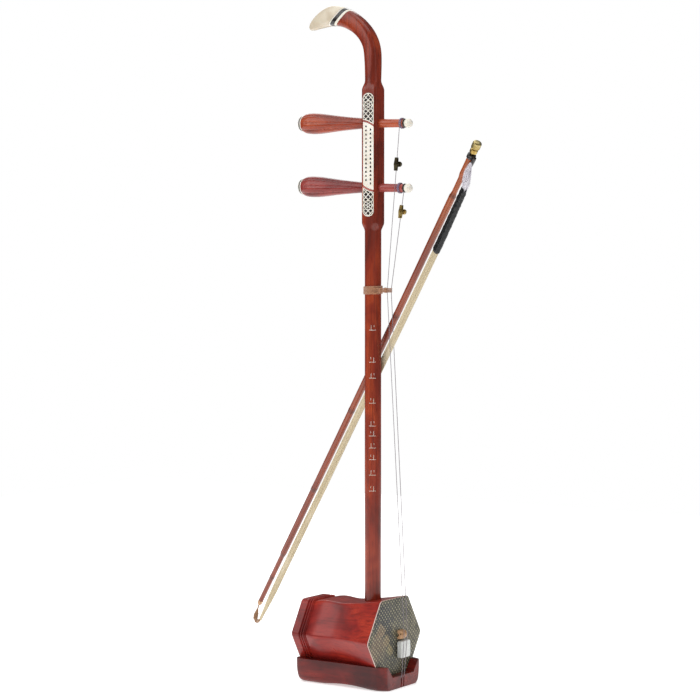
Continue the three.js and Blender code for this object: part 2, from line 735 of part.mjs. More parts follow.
// A clip-on fine tuner: a flat clip on one side of its string, and a thumbscrew that passes
// beside the string to a knob on the other side.
function buildTuner(name, route, z, material) {
  const clip = new THREE.Group();
  clip.position.set(...routePoint(route, z));
  const upward = new THREE.Vector3(...route[0]).sub(new THREE.Vector3(...route[1])).normalize();
  clip.quaternion.setFromUnitVectors(new THREE.Vector3(0, 0, 1), upward);
  const half = 7.6;
  const near = STRING_RADIUS + GAP + 0.2;
  const outline = new THREE.Shape(
    [
      [1.7, -half],
      [2.6, 0],
      [1.7, half],
      [-1.7, half],
      [-2.6, 0],
      [-1.7, -half],
    ].map(([across, up]) => new THREE.Vector2(across, up)),
  );
  const plate = new THREE.ExtrudeGeometry(outline, { depth: 3, bevelEnabled: false });
  plate.applyMatrix4(
    new THREE.Matrix4().makeBasis(
      new THREE.Vector3(0, 1, 0),
      new THREE.Vector3(0, 0, 1),
      new THREE.Vector3(1, 0, 0),
    ),
  );
  plate.translate(-near - 3, SCREW_BESIDE + 0.7, 0);
  const bore = bar([-near - 4, SCREW_BESIDE, 0], [0, SCREW_BESIDE, 0], TUNER_SHANK + GAP, 12);
  addNode(name + "_clip", toSolid(plate).subtract(toSolid(bore)), material, clip);
  const screw = [
    [0, -near - 2.8],
    [TUNER_SHANK, -near - 2.8],
    [TUNER_SHANK, near + 0.2],
    [2.7, near + 0.2],
    [3, near + 0.8],
    [3, near + 3.2],
    [2.5, near + 3.8],
    [0, near + 3.8],
  ];
  const knob = turned(screw, 16).rotateY(Math.PI / 2).translate(0, SCREW_BESIDE, 0);
  addNode(name + "_screw", knob, material, clip);
  instrument.add(clip);
}

// The cord that ties both strings to the neck: a wound sleeve with a loop out to the strings.
function buildQianjin() {
  const outer = NECK_RADIUS + GAP + 1.7;
  const profile = [
    [NECK_RADIUS + GAP, QIANJIN_Z - 5.5],
    [outer, QIANJIN_Z - 5.5],
    [outer, QIANJIN_Z + 5.5],
    [NECK_RADIUS + GAP, QIANJIN_Z + 5.5],
    [NECK_RADIUS + GAP, QIANJIN_Z - 5.5],
  ];
  const sleeve = toSolid(turned(profile, 24));
  const length = -QIANJIN_Y + STRING_RADIUS + GAP + 1.6 - NECK_RADIUS - 1;
  const middle = -NECK_RADIUS - 1 - length / 2;
  const outerTie = toSolid(boxAt([12.6, length, 5.4], [0, middle, QIANJIN_Z]));
  const inside = outer - NECK_RADIUS - 1;
  const freeSpace = [10, length - inside - 1.4, 8];
  const innerTie = toSolid(boxAt(freeSpace, [0, middle - inside / 2 + 0.7, QIANJIN_Z]));
  addNode("qianjin_loop", sleeve.add(outerTie).subtract(innerTie), cord);
}

function buildBridgeAndPad() {
  const back = SKIN_FRONT_Y - GAP;
  const top = BRIDGE_TOP_Y + STRING_RADIUS + GAP;
  const plan = new THREE.Shape([
    new THREE.Vector2(-6.4, back),
    new THREE.Vector2(6.4, back),
    new THREE.Vector2(6, top + 2.6),
    new THREE.Vector2(4.8, top),
    new THREE.Vector2(-4.8, top),
    new THREE.Vector2(-6, top + 2.6),
  ]);
  const half = 5.4;
  const block = new THREE.ExtrudeGeometry(plan, { depth: 2 * half, bevelEnabled: false });
  const dome = bar([-8, back, 0], [8, back, 0], half, 28).scale(1, (back - top) / half, 1);
  const saddle = toSolid(block.translate(0, 0, -half)).intersect(
    toSolid(dome.translate(0, back * (1 - (back - top) / half), 0)),
  );
  const slot = toSolid(bar([-8, back, 0], [8, back, 0], 2, 16));
  const eye = toSolid(bar([-8, top + 2.6, 1.2], [8, top + 2.6, 1.2], 1, 12));
  const bridge = saddle.subtract(slot).subtract(eye);
  addNode("bridge", bridge.translate([BRIDGE_CENTRE_X, 0, BRIDGE_TOP_Z]), bamboo);
  const padDepth = back - PAD_FRONT_Y;
  const pad = boxAt([20, padDepth, 19.4], [BRIDGE_CENTRE_X + 2.2, back - padDepth / 2, 42.2]);
  addNode("damper_pad", pad, felt);
}

// ---- bow ----------------------------------------------------------------------------------
// In the bow's own frame the hair runs along Z, its width along Y, and the stick stands off it.
const HAIR_TIP_Z = -476;
const STICK_TIP_Z = -468;
const STICK_END_Z = 249.6;
const STICK_BEND = 0.08;
const THICK_FROM_Z = -378;
const THICK_TO_Z = 196;
const FERRULE_FROM_Z = 228; // the stick is thicker again where the frog slides on it

// The stick bends a little towards the hair in its middle.
function stickCentre(z) {
  const share = (z - STICK_TIP_Z) / (STICK_END_Z - STICK_TIP_Z);
  const near = 1 - STICK_BEND * Math.sin(Math.PI * THREE.MathUtils.clamp(share, 0, 1));
  return [STICK_OFFSET[0] * near, STICK_OFFSET[1] * near, z];
}

function stickRadius(z) {
  const upper = THREE.MathUtils.smoothstep(z, THICK_TO_Z, THICK_TO_Z + 6);
  const lower = 1 - THREE.MathUtils.smoothstep(z, THICK_FROM_Z - 6, THICK_FROM_Z);
  const ferrule = THREE.MathUtils.smoothstep(z, FERRULE_FROM_Z - 6, FERRULE_FROM_Z);
  return STICK_RADIUS - 0.9 * (upper - ferrule) - 0.9 * lower;
}

function buildStick() {
  const steps = [THICK_FROM_Z, THICK_TO_Z + 6, FERRULE_FROM_Z].flatMap((z) => [z - 6, z]);
  const stations = [STICK_TIP_Z, ...steps, STICK_END_Z, -300, -200, -100, 0, 100];
  const rings = stations
    .sort((a, b) => a - b)
    .map((z) => ellipseRing(stickCentre(z), [1, 0, 0], [0, 1, 0], stickRadius(z), stickRadius(z), 12));
  addNode("bow_stick", loft(rings), bamboo, bowGroup);
}

function buildHair() {
  const narrowAt = (z) => {
    const tip = THREE.MathUtils.smoothstep(z, HAIR_TIP_Z, HAIR_TIP_Z + 60);
    return THREE.MathUtils.lerp(0.36, 1, tip);
  };
  const stations = [HAIR_TIP_Z, -461, -446, -431, -416, -200, 0, SLEEVE_FROM + 6];
  const rings = stations.map((z) => {
    const thick = HAIR_HALF_THICKNESS * (z < -426 ? 1.8 : 1);
    return ellipseRing([0, 0, z], [1, 0, 0], [0, 1, 0], thick, HAIR_HALF_WIDTH * narrowAt(z), 12, 3);
  });
  addNode("bow_hair", loft(rings), hairMaterial, bowGroup);
}

const SLEEVE_FROM = 138;
const SLEEVE_TO = 226;
const SLEEVE_STEPS = [0, 4, 10, 30, 48, 66, 81, 88];

function buildHairSleeve() {
  const ring = (z, wall) => {
    const share = (z - SLEEVE_FROM) / (SLEEVE_TO - SLEEVE_FROM);
    const centre = [0, 1.8 * share * share, z];
    return ellipseRing(centre, [1, 0, 0], [0, 1, 0], 3.6 - wall, 5.9 - 1.2 * share - wall * 0.6, 14);
  };
  const body = toSolid(loft(SLEEVE_STEPS.map((step) => ring(SLEEVE_FROM + step, 0))));
  const throatSizes = [2 * (HAIR_HALF_THICKNESS + GAP), 2 * (HAIR_HALF_WIDTH + GAP), 8];
  const throat = toSolid(boxAt(throatSizes, [0, 0, SLEEVE_FROM + 2.6]));
  addNode("hair_sleeve", body.subtract(throat), rubber, bowGroup);
  const tail = [
    [SLEEVE_TO + GAP, 2.4, 4.2],
    [SLEEVE_TO + 8, 3, 5.4],
    [SLEEVE_TO + 18, 2.4, 4],
    [SLEEVE_TO + 27, 1.6, 2],
  ].map(([z, thick, wide], i) => {
    const centre = [0.6 * i, 1.8 + 3.4 * i, z];
    return ellipseRing(centre, [1, 0, 0], [0, 1, 0], thick, wide, 12);
  });
  addNode("hair_end_bundle", loft(tail), hairMaterial, bowGroup);
}

// The tie that joins the stick's end to the hair's: share of the way to the stick, height and radius.
const TIE_STATIONS = [
  [1, -477.2, 0.9],
  [0.93, -481.5, 0.9],
  [0.86, -485.5, 2.1],
  [0.78, -489.5, 3.1],
  [0.66, -492.2, 3],
  [0.52, -492, 1.9],
  [0.37, -489.4, 2.3],
  [0.21, -484.6, 2.3],
  [0.06, -478.4, 1.4],
];

function tiePoint(index) {
  const [share, z] = TIE_STATIONS[index];
  return new THREE.Vector3(STICK_OFFSET[0] * share, STICK_OFFSET[1] * share, z);
}

function buildTip() {
  const [x, y] = stickCentre(STICK_TIP_Z);
  const binding = [
    [0, STICK_TIP_Z - 8],
    [2.6, STICK_TIP_Z - 8],
    [3.2, STICK_TIP_Z - 5],
    [3.2, STICK_TIP_Z - 2],
    [2.8, STICK_TIP_Z - GAP],
    [0, STICK_TIP_Z - GAP],
  ];
  addNode("bow_tip_cap", turned(binding, 14).translate(x, y, 0), bamboo, bowGroup);
  const side = new THREE.Vector3(STICK_OFFSET[1], -STICK_OFFSET[0], 0).normalize();
  const rings = TIE_STATIONS.map(([share, z, radius], i) => {
    const run = tiePoint(Math.min(i + 1, TIE_STATIONS.length - 1)).sub(tiePoint(Math.max(i - 1, 0)));
    const out = new THREE.Vector3().crossVectors(run.normalize(), side).toArray();
    const centre = [STICK_OFFSET[0] * share, STICK_OFFSET[1] * share, z];
    return ellipseRing(centre, side.toArray(), out, radius, radius, 12);
  });
  addNode("hair_tip_knot", loft(rings), cord, bowGroup);
}

// The frog slides on the stick's end when the screw turns, and pulls the hair tight.
function buildFrogAndScrew() {
  const [x, y] = stickCentre(STICK_END_Z);
  const screwAxis = (profile, segments) => turned(profile, segments).translate(x, y, 0);
  const ring = [
    [1.9, STICK_END_Z + 0.6],
    [4.9, STICK_END_Z + 0.6],
    [4.9, STICK_END_Z + 5.7],
    [1.9, STICK_END_Z + 5.7],
    [1.9, STICK_END_Z + 0.6],
  ];
  const collar = toSolid(screwAxis(ring, 18));
  const spurRings = [
    [STICK_END_Z - 9, 1.1],
    [STICK_END_Z - 2, 1.7],
    [STICK_END_Z + 5.4, 1.9],
  ].map(([z, thick]) => ellipseRing([x, y - 6.2, z], [1, 0, 0], [0, 1, 0], 2.4, thick, 12, 3));
  const spur = toSolid(loft(spurRings));
  const web = toSolid(boxAt([4, 3.6, 4.6], [x, y - 4.2, STICK_END_Z + 3.2]));
  const bore = toSolid(bar([x, y, STICK_END_Z], [x, y, STICK_END_Z + 8], 1.9, 18));
  addNode("bow_frog", collar.add(spur).add(web.subtract(bore)), blackHorn, bowGroup);

  const start = STICK_END_Z + 8.2;
  const knob = [
    [0, STICK_END_Z + GAP],
    [1.5, STICK_END_Z + GAP],
    [1.5, start],
    [4.4, start],
    [4.4, start + 5],
    [3.9, start + 5.4],
    [3.9, start + 5.8],
    [5, start + 6.2],
    [5.1, start + 12.6],
    [4.4, start + 14.1],
    [0, start + 14.5],
  ];
  addNode("bow_screw", screwAxis(knob, 18), brass, bowGroup);
}

function placeBow() {
  const yaw = THREE.MathUtils.degToRad(BOW_YAW);
  const pitch = THREE.MathUtils.degToRad(BOW_PITCH);
  const along = new THREE.Vector3(
    Math.cos(pitch) * Math.cos(yaw),
    Math.cos(pitch) * Math.sin(yaw),
    Math.sin(pitch),
  );
  const flat = new THREE.Vector3(-along.y, along.x, 0).normalize();
  const wide = new THREE.Vector3().crossVectors(along, flat);
  const frame = new THREE.Matrix4().makeBasis(flat, wide, along).setPosition(...BOW_CROSSING);
  bowGroup.applyMatrix4(frame);
  instrument.add(bowGroup);
}

buildNeckAndHead();
buildInlays();
buildPeg("upper_peg", UPPER_PEG_Z, COIL_FROM.upper);
buildPeg("lower_peg", LOWER_PEG_Z, COIL_FROM.lower);
buildSoundBox();
buildBase();
buildStrings();
buildQianjin();
buildBridgeAndPad();
buildStick();
buildHair();
buildHairSleeve();
buildTip();
buildFrogAndScrew();
placeBow();

export default root;
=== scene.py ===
"""Looks for the erhu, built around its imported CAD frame. Shapes are in millimetres measured from
the neck's axis, as in the CAD source, and become metres in the row frame when a piece is made."""
import math
import random

import bmesh
import bpy
from mathutils import Matrix, Vector


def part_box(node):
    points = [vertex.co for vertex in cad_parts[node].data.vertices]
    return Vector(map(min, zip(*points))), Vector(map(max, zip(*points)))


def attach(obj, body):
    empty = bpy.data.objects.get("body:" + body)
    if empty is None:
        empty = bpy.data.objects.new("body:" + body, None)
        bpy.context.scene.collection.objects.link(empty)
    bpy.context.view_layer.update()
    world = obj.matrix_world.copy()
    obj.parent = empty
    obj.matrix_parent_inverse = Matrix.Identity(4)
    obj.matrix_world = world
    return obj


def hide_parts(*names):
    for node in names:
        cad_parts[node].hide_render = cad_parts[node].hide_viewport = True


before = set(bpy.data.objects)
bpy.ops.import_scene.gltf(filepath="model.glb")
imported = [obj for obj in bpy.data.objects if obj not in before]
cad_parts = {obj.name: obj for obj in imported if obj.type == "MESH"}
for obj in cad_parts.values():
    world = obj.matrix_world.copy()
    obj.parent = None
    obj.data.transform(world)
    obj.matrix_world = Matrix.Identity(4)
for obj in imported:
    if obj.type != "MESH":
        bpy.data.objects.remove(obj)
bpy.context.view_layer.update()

MM = 0.001
NECK_Y = -21.0  # the neck's axis from the centre of the base
NECK_AT = Vector((0, NECK_Y * MM, 0))
RANDOM = random.Random(7)

# ---- driving dimensions, in millimetres ---------------------------------------------------------
GAP = 0.3
NECK_RADIUS = 9.5
NECK_FOOT_Z = 11
BLOCK_LOW_Z = 537
BLOCK_HIGH_Z = 689
BLOCK_FLARE = 10
BLOCK_HALF_X = 10
BLOCK_HALF_Y = 10.4
BLOCK_CHAMFER = 2.2
HEAD_START_Z = BLOCK_HIGH_Z + BLOCK_FLARE
PEG_TILT = math.radians(1.8)
PEG_HEIGHTS = {"upper_peg": 651, "lower_peg": 577}
PEG_SHAFT_RADIUS = 5
BOX_CENTRE_Z = 56.3
BOX_FRONT_Y = -28.6
BOX_REAR_Y = 66
RIM_END_Y = 85.3
SKIN_FRONT_Y = -30.6
BASE_FRONT_Y = -42
BASE_REAR_Y = 84
BASE_HALF_WIDTH = 41
BASE_TOP_Z = 27.5
STRING_RADIUS = 0.5
WIRE_RADIUS = 0.36
QIANJIN_Z = 458.5
STRING_FOOT_X = -1
STRING_FOOT_SPREAD = 2.6  # from there to each string
BASE_SCREW_Y = 44
BRIDGE_AT = (11, 59)  # across the face and up it
BRIDGE_TOP_Y = -38.5
STRING_SPREAD = 3.5  # from the bridge's middle to each string


def rgb(red, green, blue):
    """A colour given as 0 to 255 in sRGB, as linear values."""
    parts = []
    for value in (red, green, blue):
        share = value / 255
        parts.append(share / 12.92 if share <= 0.04045 else ((share + 0.055) / 1.055) ** 2.4)
    return (*parts, 1.0)


# ---- camera, light and floor --------------------------------------------------------------------
VIEW_AZIMUTH = math.radians(-56.2)
VIEW_PITCH = math.radians(2.35)
CAMERA_FROM_NECK = Vector((-2.0484, -1.3392, 0.4896))
CAMERA_LENS = 108.63


def facing(azimuth, elevation):
    """The direction from the object towards a viewer; azimuth 0 stands in front, at -Y."""
    level = math.cos(elevation)
    return Vector((math.sin(azimuth) * level, -math.cos(azimuth) * level, math.sin(elevation)))


def build_camera():
    data = bpy.data.cameras.new("camera")
    data.lens = CAMERA_LENS
    data.sensor_width = 36
    camera = bpy.data.objects.new("camera", data)
    bpy.context.scene.collection.objects.link(camera)
    camera.location = NECK_AT + CAMERA_FROM_NECK
    camera.rotation_euler = (-facing(VIEW_AZIMUTH, VIEW_PITCH)).to_track_quat("-Z", "Y").to_euler()
    bpy.context.scene.camera = camera


def area_light(name, azimuth, elevation, distance, size, power):
    back = facing(math.radians(azimuth), math.radians(elevation))
    data = bpy.data.lights.new(name, "AREA")
    data.shape = "RECTANGLE"
    data.size, data.size_y = size
    data.energy = power
    light = bpy.data.objects.new(name, data)
    bpy.context.scene.collection.objects.link(light)
    light.location = LIGHTS_AIM_AT + back * distance
    light.rotation_euler = (-back).to_track_quat("-Z", "Y").to_euler()


LIGHTS_AIM_AT = Vector((0, 0, 0.38))
AMBIENT_LEVEL = 0.5  # how bright the surroundings are to soft and to mirror-like reflection
GLOSS_LEVEL = 0.09


def build_stage():
    world = bpy.data.worlds.new("studio")
    world.use_nodes = True
    background = world.node_tree.nodes["Background"]
    background.inputs["Color"].default_value = (1, 1, 1, 1)
    ray = world.node_tree.nodes.new("ShaderNodeLightPath")
    strength = AMBIENT_LEVEL
    changes = {"Is Camera Ray": 1 - AMBIENT_LEVEL, "Is Glossy Ray": GLOSS_LEVEL - AMBIENT_LEVEL}
    for output, change in changes.items():
        step = world.node_tree.nodes.new("ShaderNodeMath")
        step.operation = "MULTIPLY_ADD"
        world.node_tree.links.new(ray.outputs[output], step.inputs[0])
        step.inputs[1].default_value = change
        if isinstance(strength, float):
            step.inputs[2].default_value = strength
        else:
            world.node_tree.links.new(strength, step.inputs[2])
        strength = step.outputs[0]
    world.node_tree.links.new(strength, background.inputs["Strength"])
    bpy.context.scene.world = world
    area_light("key", -122, 36, 2.4, (1.6, 2.0), 22)
    area_light("front", -15, 25, 2.4, (1.2, 1.8), 3.5)
    area_light("back", 130, 40, 2.2, (1.2, 1.2), 8)
    area_light("top", 0, 88, 2.0, (2.0, 2.0), 18)
    bpy.ops.mesh.primitive_plane_add(size=3.4, location=(0, 0, -0.0004))
    floor = bpy.context.object
    floor.name = "floor"
    paint = bpy.data.materials.new("floor_paint")
    paint.use_nodes = True
    shader = paint.node_tree.nodes["Principled BSDF"]
    shader.inputs["Base Color"].default_value = (0.96, 0.96, 0.96, 1)
    shader.inputs["Roughness"].default_value = 0.9
    shader.inputs["Emission Color"].default_value = (1, 1, 1, 1)
    shader.inputs["Emission Strength"].default_value = 0.5
    floor.data.materials.append(paint)
    bpy.context.scene.view_settings.view_transform = "Standard"
    bpy.context.scene.view_settings.look = "None"


# ---- material kit -------------------------------------------------------------------------------
class Graph:
    """One procedural material under construction. Lengths in it are metres in object space."""

    def __init__(self, name, **sockets):
        self.material = bpy.data.materials.new(name)
        self.material.use_nodes = True
        self.nodes = self.material.node_tree.nodes
        self.links = self.material.node_tree.links
        self.shader = self.nodes["Principled BSDF"]
        for socket, value in sockets.items():
            self.shader.inputs[socket.replace("_", " ")].default_value = value
        self.place = self.nodes.new("ShaderNodeTexCoord").outputs["Object"]

    def put(self, socket, value):
        if isinstance(value, bpy.types.NodeSocket):
            self.links.new(value, socket)
        else:
            socket.default_value = value

    def colour(self, value):
        self.put(self.shader.inputs["Base Color"], value)

    def roughness(self, value, low, high):
        self.put(self.shader.inputs["Roughness"], self.spread(value, 0.3, 0.7, low, high))

    def stretched(self, stretch):
        node = self.nodes.new("ShaderNodeMapping")
        self.links.new(self.place, node.inputs["Vector"])
        node.inputs["Scale"].default_value = stretch
        return node.outputs["Vector"]

    def noise(self, scale, stretch=(1, 1, 1), detail=4.0, rough=0.5, warp=0.0):
        node = self.nodes.new("ShaderNodeTexNoise")
        self.links.new(self.stretched(stretch), node.inputs["Vector"])
        node.inputs["Scale"].default_value = scale
        node.inputs["Detail"].default_value = detail
        node.inputs["Roughness"].default_value = rough
        node.inputs["Distortion"].default_value = warp
        return node.outputs["Fac"]

    def wave(self, scale, direction, warp=0.0):
        node = self.nodes.new("ShaderNodeTexWave")
        self.links.new(self.place, node.inputs["Vector"])
        node.bands_direction = direction
        node.inputs["Scale"].default_value = scale
        node.inputs["Distortion"].default_value = warp
        node.inputs["Detail"].default_value = 2
        return node.outputs["Fac"]

    def math(self, operation, *values):
        node = self.nodes.new("ShaderNodeMath")
        node.operation = operation
        for socket, value in zip(node.inputs, values):
            self.put(socket, value)
        return node.outputs["Value"]

    def spread(self, value, low, high, to_low=0.0, to_high=1.0):
        node = self.nodes.new("ShaderNodeMapRange")
        node.interpolation_type = "SMOOTHSTEP"
        for socket, number in zip(node.inputs, (value, low, high, to_low, to_high)):
            self.put(socket, number)
        return node.outputs["Result"]

    def ramp(self, value, stops):
        node = self.nodes.new("ShaderNodeValToRGB")
        self.links.new(value, node.inputs["Fac"])
        elements = node.color_ramp.elements
        while len(elements) < len(stops):
            elements.new(0.5)
        for element, (position, colour) in zip(elements, stops):
            element.position = position
            element.color = colour
        return node.outputs["Color"]

    def mix(self, factor, first, second):
        node = self.nodes.new("ShaderNodeMix")
        node.data_type = "RGBA"
        self.put(node.inputs[0], factor)
        self.put(node.inputs[6], first)
        self.put(node.inputs[7], second)
        return node.outputs[2]

    def laid_over(self, tone, value, low, high, most, shade):
        """The tone with the shade over it where the value is high, up to the given share."""
        return self.mix(self.spread(value, low, high, 0.0, most), tone, shade)

    def axes(self):
        node = self.nodes.new("ShaderNodeSeparateXYZ")
        self.links.new(self.place, node.inputs["Vector"])
        return node.outputs["X"], node.outputs["Y"], node.outputs["Z"]

    def bump(self, height, strength, depth):
        node = self.nodes.new("ShaderNodeBump")
        node.inputs["Strength"].default_value = strength
        node.inputs["Distance"].default_value = depth
        self.links.new(height, node.inputs["Height"])
        self.links.new(node.outputs["Normal"], self.shader.inputs["Normal"])


def along(axis, across, run):
    """Stretch factors for a texture that runs along one axis."""
    return tuple(run if i == axis else across for i in range(3))


def varnished_wood(name, axis, dark, middle, bright, mottle=30, shine=0.4, grooves=(), gloss=0.16):
    """Red-brown wood under gloss varnish: slow mottling, long grain and short dark pores."""
    graph = Graph(name, Coat_Weight=shine, Coat_Roughness=gloss, Specular_IOR_Level=0.25)
    cloud = graph.noise(mottle, along(axis, 1, 0.55), 3, 0.55, 0.6)
    figure = graph.ramp(cloud, [(0.28, dark), (0.5, middle), (0.7, bright)])
    streak = graph.noise(420, along(axis, 1, 0.035), 5, 0.6, 0.4)
    grained = graph.laid_over(figure, streak, 0.42, 0.7, 0.55, dark)
    pores = graph.noise(1900, along(axis, 1, 0.03), 2, 0.5)
    dashes = graph.spread(pores, 0.62, 0.7)
    deep = tuple(0.3 * c for c in dark[:3]) + (1,)
    tone = graph.mix(graph.math("MULTIPLY", dashes, 0.5), grained, deep)
    # Painted shade: a narrow dark band about each groove place along Y stands in for the shade inside a
    # groove.
    for groove in grooves:
        near = graph.math("ABSOLUTE", graph.math("SUBTRACT", graph.axes()[1], groove * MM))
        tone = graph.mix(graph.spread(near, 0.0004, 0.0011, 0.9, 0.0), tone, deep)
    graph.colour(tone)
    graph.roughness(cloud, 0.36, 0.26)
    graph.bump(graph.math("SUBTRACT", streak, graph.math("MULTIPLY", dashes, 0.6)), 0.1, 0.0003)
    return graph.material


def bamboo(name):
    graph = Graph(name, Coat_Weight=0.35, Coat_Roughness=0.15)
    z = graph.axes()[2]
    fibre = graph.noise(900, along(2, 1, 0.01), 5, 0.6)
    cloud = graph.noise(35, along(2, 1, 0.3), 3)
    halves = [graph.math("MULTIPLY", part, 0.5) for part in (fibre, cloud)]
    tone = graph.ramp(graph.math("ADD", *halves),
                      [(0.32, rgb(84, 28, 12)), (0.5, rgb(128, 50, 24)), (0.68, rgb(164, 76, 38))])
    low_half = graph.spread(z, 0.1, 0.21, 0.0, 0.85)
    orange = graph.ramp(fibre, [(0.3, rgb(146, 62, 18)), (0.7, rgb(186, 94, 34))])
    tone = graph.mix(low_half, tone, orange)
    for height in BAMBOO_NODES:
        near = graph.math("ABSOLUTE", graph.math("SUBTRACT", z, height * MM))
        tone = graph.mix(graph.spread(near, 0.0, 0.006, 0.62, 0.0), tone, rgb(74, 30, 18))
    graph.colour(tone)
    graph.roughness(fibre, 0.45, 0.3)
    graph.bump(fibre, 0.12, 0.0003)
    return graph.material


def ivory(name, light, shade, scale=60):
    graph = Graph(name, Coat_Weight=0.25, Coat_Roughness=0.12, Subsurface_Weight=0.08)
    graph.shader.inputs["Subsurface Radius"].default_value = (0.003, 0.002, 0.0012)
    cloud = graph.noise(scale, rough=0.55, warp=0.5)
    lines = graph.noise(500, (1, 0.12, 1), 4, 0.6)
    tone = graph.ramp(cloud, [(0.3, shade), (0.65, light)])
    graph.colour(graph.laid_over(tone, lines, 0.5, 0.75, 0.3, shade))
    graph.roughness(cloud, 0.38, 0.26)
    graph.bump(lines, 0.06, 0.0002)
    return graph.material


def black_horn(name):
    graph = Graph(name, Coat_Weight=0.5, Coat_Roughness=0.1)
    cloud = graph.noise(120, (1, 1, 0.2), 5, 0.6)
    graph.colour(graph.ramp(cloud, [(0.35, rgb(14, 12, 13)), (0.7, rgb(46, 38, 36))]))
    graph.roughness(cloud, 0.3, 0.2)
    graph.bump(cloud, 0.05, 0.0002)
    return graph.material


def metal(name, light, shade, low, high):
    graph = Graph(name, Metallic=1.0)
    scratch = graph.noise(900, (1, 1, 0.15), 4, 0.65)
    cloud = graph.noise(160, rough=0.6)
    tone = graph.ramp(cloud, [(0.35, shade), (0.62, light)])
    graph.colour(graph.laid_over(tone, scratch, 0.45, 0.75, 0.3, shade))
    graph.roughness(cloud, low, high)
    graph.bump(scratch, 0.06, 0.0001)
    return graph.material


def wound_string(name):
    graph = Graph(name, Metallic=0.35)
    turns = graph.wave(1300, "Z")
    graph.colour(graph.ramp(turns, [(0.1, rgb(112, 102, 110)), (0.7, rgb(168, 158, 164))]))
    graph.roughness(turns, 0.38, 0.28)
    graph.bump(turns, 0.2, 0.0001)
    return graph.material


def twisted_cord(name, light, shade, scale=700):
    graph = Graph(name, Sheen_Weight=0.4, Sheen_Roughness=0.5)
    twist = graph.wave(scale, "DIAGONAL", 1.5)
    fuzz = graph.noise(1600, detail=5, rough=0.7)
    tone = graph.ramp(twist, [(0.1, shade), (0.75, light)])
    graph.colour(graph.laid_over(tone, fuzz, 0.4, 0.75, 0.35, shade))
    graph.roughness(fuzz, 0.75, 0.95)
    graph.bump(graph.math("ADD", twist, graph.math("MULTIPLY", fuzz, 0.5)), 0.5, 0.0003)
    return graph.material


def felt(name):
    graph = Graph(name, Sheen_Weight=0.6, Sheen_Roughness=0.5)
    fuzz = graph.noise(900, detail=6, rough=0.75)
    cloud = graph.noise(120)
    tone = graph.ramp(fuzz, [(0.3, rgb(190, 194, 190)), (0.65, rgb(240, 241, 237))])
    graph.colour(graph.laid_over(tone, cloud, 0.5, 0.75, 0.4, rgb(196, 200, 198)))
    graph.roughness(fuzz, 0.85, 0.98)
    graph.bump(graph.math("ADD", fuzz, cloud), 0.6, 0.0006)
    return graph.material


def horsehair(name, dark, middle, pale):
    graph = Graph(name, Sheen_Weight=0.2, Anisotropic=0.5)
    strand = graph.noise(2600, along(2, 1, 0.004), 3, 0.6)
    cloud = graph.noise(60, along(2, 1, 0.25), 3)
    tone = graph.ramp(strand, [(0.3, dark), (0.6, middle)])
    graph.colour(graph.laid_over(tone, cloud, 0.5, 0.75, 0.5, pale))
    graph.roughness(strand, 0.5, 0.38)
    graph.bump(strand, 0.3, 0.0002)
    return graph.material


def black_tape(name):
    graph = Graph(name, Coat_Weight=0.45, Coat_Roughness=0.06, Specular_IOR_Level=0.2)
    crease = graph.noise(260, (1, 1, 0.7), 6, 0.6, 1.2)
    cloud = graph.noise(70, (1, 1, 0.6), 3)
    graph.colour(graph.ramp(cloud, [(0.35, rgb(5, 6, 8)), (0.7, rgb(20, 22, 24))]))
    graph.roughness(crease, 0.45, 0.28)
    graph.bump(crease, 0.9, 0.002)
    return graph.material


SCALE_WIDTH = 6.0  # the snake's scales, in millimetres, across the face and up it
SCALE_HEIGHT = 5.2
# Patches of the skin's own markings: middle across and up, reach, strength and colour.
SKIN_PATCHES = [
    ((-44, 84), 18, 0.5, rgb(104, 100, 88)),
    ((-27, 80), 17, 0.9, rgb(32, 36, 46)),
    ((-20, 66), 12, 0.9, rgb(30, 34, 42)),
    ((-4, 44), 15, 0.8, rgb(44, 46, 46)),
    ((6, 92), 20, 0.5, rgb(70, 72, 68)),
    ((-30, 67), 7.5, 0.6, rgb(158, 130, 98)),
    ((-19, 55), 6, 0.6, rgb(166, 142, 100)),
    ((-11, 43), 6, 0.6, rgb(176, 158, 112)),
    ((-36, 48), 15, 0.55, rgb(138, 112, 88)),
    ((-24, 26), 18, 0.45, rgb(92, 92, 84)),
    ((12, 20), 20, 0.5, rgb(86, 88, 78)),
]


